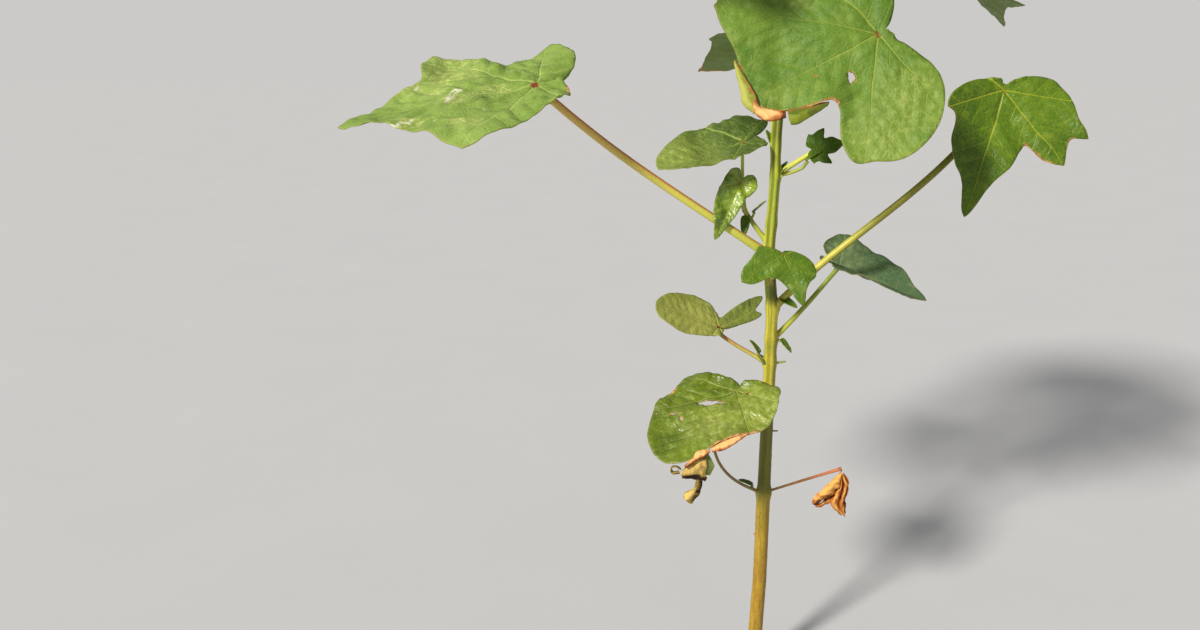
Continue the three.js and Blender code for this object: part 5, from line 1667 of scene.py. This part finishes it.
def with_pores(z, turn, plain, radius):
    """Raised pores, scattered on the older bark."""
    rng = np.random.default_rng(PORE_SEED)
    for height, angle in zip(rng.uniform(PORE_LOWEST, PORE_TOP, PORES), rng.uniform(0, 2 * math.pi, PORES)):
        off = angle_between(turn, angle) * plain
        away = (off / PORE_HALF_WIDTH) ** 2 + ((z - height) / PORE_HALF_LENGTH) ** 2
        radius = radius + PORE_HEIGHT * np.exp(-away)
    return radius


print("pores:", PORES, "below", PORE_TOP, "mm")

# %% The stem's form
RING_STEP = 1.2
RING_SIDES = 48
RIBS, RIB_TURN = 5, 205
RIB_DEPTH_BELOW, RIB_DEPTH_GAINED = 0.003, 0.033


def stem_form():
    """Rings of points up the stem, the faces between them, and the values that the finish reads."""
    heights = np.append(np.arange(0, STEM_TOP, RING_STEP), STEM_TOP)
    turns = np.radians(np.arange(RING_SIDES) * 360 / RING_SIDES)
    z, turn = (grid.ravel() for grid in np.meshgrid(heights, turns, indexing="ij"))
    plain = stem_radius(z)
    wander = 0.5 * np.sin(z / 37) + 0.3 * np.sin(z / 13 + 1)
    rib = np.cos(RIBS * (turn - math.radians(RIB_TURN)) + wander)
    rib = np.sign(rib) * np.abs(rib) ** 0.8
    radius = plain + (RIB_DEPTH_BELOW + RIB_DEPTH_GAINED * smooth_step(z, 130, 230)) * plain * rib
    radius, rib = with_cushions(z, turn, plain, radius, rib)
    around = np.stack([6 * np.cos(turn), 6 * np.sin(turn), 0.12 * z], 1)
    radius += 0.03 * waviness(around, 2.2, 5) * smooth_step(-z, -260, -60)
    radius += 0.02 * waviness(around, 0.9, 6)
    radius = with_pores(z, turn, plain, radius)
    ring = stem_middle(z) + np.stack([radius * np.cos(turn), radius * np.sin(turn), np.zeros_like(z)], 1)
    at = np.arange(len(heights) * RING_SIDES).reshape(len(heights), RING_SIDES)
    after = np.roll(at, -1, axis=1)
    faces = np.stack([at[:-1], after[:-1], after[1:], at[1:]], -1).reshape(-1, 4).tolist()
    top = len(ring)
    faces += [(a, b, top) for a, b in zip(at[-1].tolist(), after[-1].tolist())]
    faces.append(tuple(range(RING_SIDES - 1, -1, -1)))
    points = np.vstack([ring, stem_middle(STEM_TOP) + [0, 0, TIP_LENGTH]])
    values = {"bulge": np.append(radius / plain - 1, 0.0), "rib": np.append(0.5 + 0.5 * rib, 0.5)}
    return points, faces, values


print("stem rings every", RING_STEP, "mm, with", RING_SIDES, "points each")

# %% [markdown]
# ## The stem's finish
# Bronze and woody at the foot, with a little dust, and bright yellow-green above. The ribs are yellower
# than the grooves between them. Three stretches that leaves shade are darker, as in the photograph.

# %% The stem finish
# The bark's colours on its ribs and in its grooves: at the foot, and then each pair that follows above,
# with the heights in metres between which it takes over.
BARK_FOOT = (srgb(176, 142, 40), srgb(138, 106, 28))
BARK_ABOVE = [
    (0.06, 0.16, srgb(184, 174, 56), srgb(142, 136, 36)),
    (0.19, 0.3, srgb(182, 186, 58), srgb(104, 124, 24)),
    (0.33, 0.42, srgb(146, 172, 56), srgb(104, 138, 34)),
]
# Painted shade on stretches that leaves shade: from and to, in metres up the stem, and how dark they are.
SHADED_STRETCHES = [(0.113, 0.157, 0.62), (0.221, 0.238, 0.85), (0.303, 0.322, 0.55)]
SHADED_BARK, GREEN_BARK, PALE_PORE = srgb(60, 72, 6), srgb(112, 130, 44), srgb(206, 186, 98)
BARK_SPECK, DUST = srgb(64, 44, 18), srgb(204, 176, 128)


def bark_colour(f, here, height, blotch, streaks):
    """The living bark's colour: ribs and grooves, greener patches, and painted shade on the stretches that
    leaves shade.
    """
    level = f.math("ADD", height, f.math("MULTIPLY", f.math("SUBTRACT", blotch, 0.5), 0.05))
    on_rib, groove = BARK_FOOT
    for low, high, rib_above, groove_above in BARK_ABOVE:
        on_rib = f.mix(f.step(level, low, high), on_rib, rib_above)
        groove = f.mix(f.step(level, low, high), groove, groove_above)
    ribbed = f.math("MULTIPLY", f.math("SUBTRACT", f.value("rib"), 0.5), f.step(level, 0.06, 0.24))
    ragged = f.math("MULTIPLY", f.math("SUBTRACT", streaks, 0.5), 1.3)
    rib = f.math("ADD", 0.5, f.math("ADD", ribbed, ragged))
    colour = f.mix(f.step(rib, 0.15, 0.9), groove, on_rib)
    green = f.math("MULTIPLY", f.step(f.noise(here, 30.0, 2.0), 0.5, 0.62), f.step(height, 0.08, 0.13))
    colour = f.tint(colour, green, 0.4, GREEN_BARK)
    # Painted shade where leaves shade the stem.
    for low, high, depth in SHADED_STRETCHES:
        shaded = f.step(height, low - 0.003, low + 0.004)
        shaded = f.math("MULTIPLY", shaded, f.step(height, high + 0.008, high))
        colour = f.tint(colour, shaded, depth, SHADED_BARK)
    return colour


def stem_finish():
    """The whole bark, with its pores, its dark specks and the dust at its foot."""
    f = Finish("stem")
    here = f.here()
    height = f.node("SeparateXYZ", {0: here}).outputs["Z"]
    blotch = f.noise(here, 70.0, 3.0)
    streaks = f.noise(f.here(1.0, 1.0, 0.12), 620.0, 4.0, 0.6)
    colour = bark_colour(f, here, height, blotch, streaks)
    colour = f.tint(colour, f.step(f.value("bulge"), 0.05, 0.1), 0.2, PALE_PORE)
    lower = f.step(height, 0.2, 0.1)
    specks = f.node("TexVoronoi", {"Vector": f.here(1.0, 1.0, 0.5), "Scale": 1150.0}).outputs["Distance"]
    strength = f.math("ADD", 0.4, f.math("MULTIPLY", lower, 0.4))
    colour = f.tint(colour, f.step(specks, 0.26, 0.12), strength, BARK_SPECK)
    dusty = f.math("MULTIPLY", f.step(height, 0.02, 0.0), f.step(blotch, 0.4, 0.6))
    colour = f.tint(colour, dusty, 0.7, DUST)
    f.put(f.shader.inputs["Base Color"], colour)
    f.put(f.shader.inputs["Roughness"], f.math("ADD", 0.36, f.math("MULTIPLY", lower, 0.22)))
    f.shader.inputs["Specular IOR Level"].default_value = 0.4
    relief = f.math("ADD", streaks, f.math("MULTIPLY", specks, 0.3))
    bump = f.node("Bump", {"Strength": 0.5, "Distance": 0.0003, "Height": relief}).outputs[0]
    f.put(f.shader.inputs["Normal"], bump)
    return f.material


STEM_FINISH = stem_finish()
print("stem finish:", len(STEM_FINISH.node_tree.nodes), "nodes")

# %% The stem
stem_points, stem_faces, stem_values = stem_form()
stem = mesh_object("stem_bark", stem_points, stem_faces, STEM_FINISH, stem_values)
finished(stem, "stem")
print("stem:", len(stem_faces), "faces")

# %% [markdown]
# ## Oil glands by Geometry Nodes
# Cotton's stem is dotted with tiny dark glands. A node tree scatters them on the bark, fewer towards the
# top, with sizes that vary, and turns them into real geometry.

# %% The gland tree
def gland_tree():
    """Small spheres scattered on a skin, fewer towards the top and none near the ground."""
    t = Tree("glands on a skin", {
        "Each square metre": ("Float", 300000.0), "Radius": ("Float", 0.00014),
        "Fade height": ("Float", 0.3), "Least share": ("Float", 0.2),
        "Clear of the ground": ("Float", 0.002), "Seed": ("Int", 3), "Material": ("Material", None),
    })
    place = t.node("ShaderNodeSeparateXYZ", {0: t.node("GeometryNodeInputPosition").outputs[0]})
    risen = t.math("DIVIDE", place.outputs["Z"], t.inputs["Fade height"])
    share = t.math("MAXIMUM", t.math("SUBTRACT", 1.0, risen), t.inputs["Least share"])
    clear = t.math("GREATER_THAN", place.outputs["Z"], t.inputs["Clear of the ground"])
    share = t.math("MULTIPLY", share, clear)
    scattered = t.node("GeometryNodeDistributePointsOnFaces", {
        "Mesh": t.inputs["Geometry"], "Density": t.math("MULTIPLY", share, t.inputs["Each square metre"]),
        "Seed": t.inputs["Seed"],
    }, distribute_method="RANDOM")
    gland = t.node("GeometryNodeMeshIcoSphere", {"Radius": t.inputs["Radius"], "Subdivisions": 1})
    scale = t.node("FunctionNodeRandomValue", {2: 0.6, 3: 1.5, "Seed": t.inputs["Seed"]}, data_type="FLOAT")
    placed = t.node("GeometryNodeInstanceOnPoints", {
        "Points": scattered.outputs["Points"], "Instance": gland.outputs["Mesh"], "Scale": scale.outputs[1],
    })
    return t.finish(placed.outputs[0])


GLAND_TREE = gland_tree()
print("gland tree:", len(GLAND_TREE.nodes), "nodes")

# %% The glands
def gland_finish():
    f = Finish("gland")
    shade = f.noise(f.here(), 800.0, 2.0)
    f.put(f.shader.inputs["Base Color"], f.mix(f.step(shade, 0.3, 0.7), srgb(40, 28, 12), srgb(92, 62, 28)))
    f.shader.inputs["Roughness"].default_value = 0.45
    return f.material


GLAND_SIZES = {
    "Each square metre": 300000.0, "Radius": 0.00014, "Fade height": 0.3, "Least share": 0.2,
    "Clear of the ground": 0.002, "Seed": 3,
}
FACES_OF_A_GLAND = 20
glands = grown(stem, GLAND_TREE, {**GLAND_SIZES, "Material": gland_finish()}, "stem_glands")
finished(glands)
print("glands:", len(glands.data.polygons) // FACES_OF_A_GLAND)
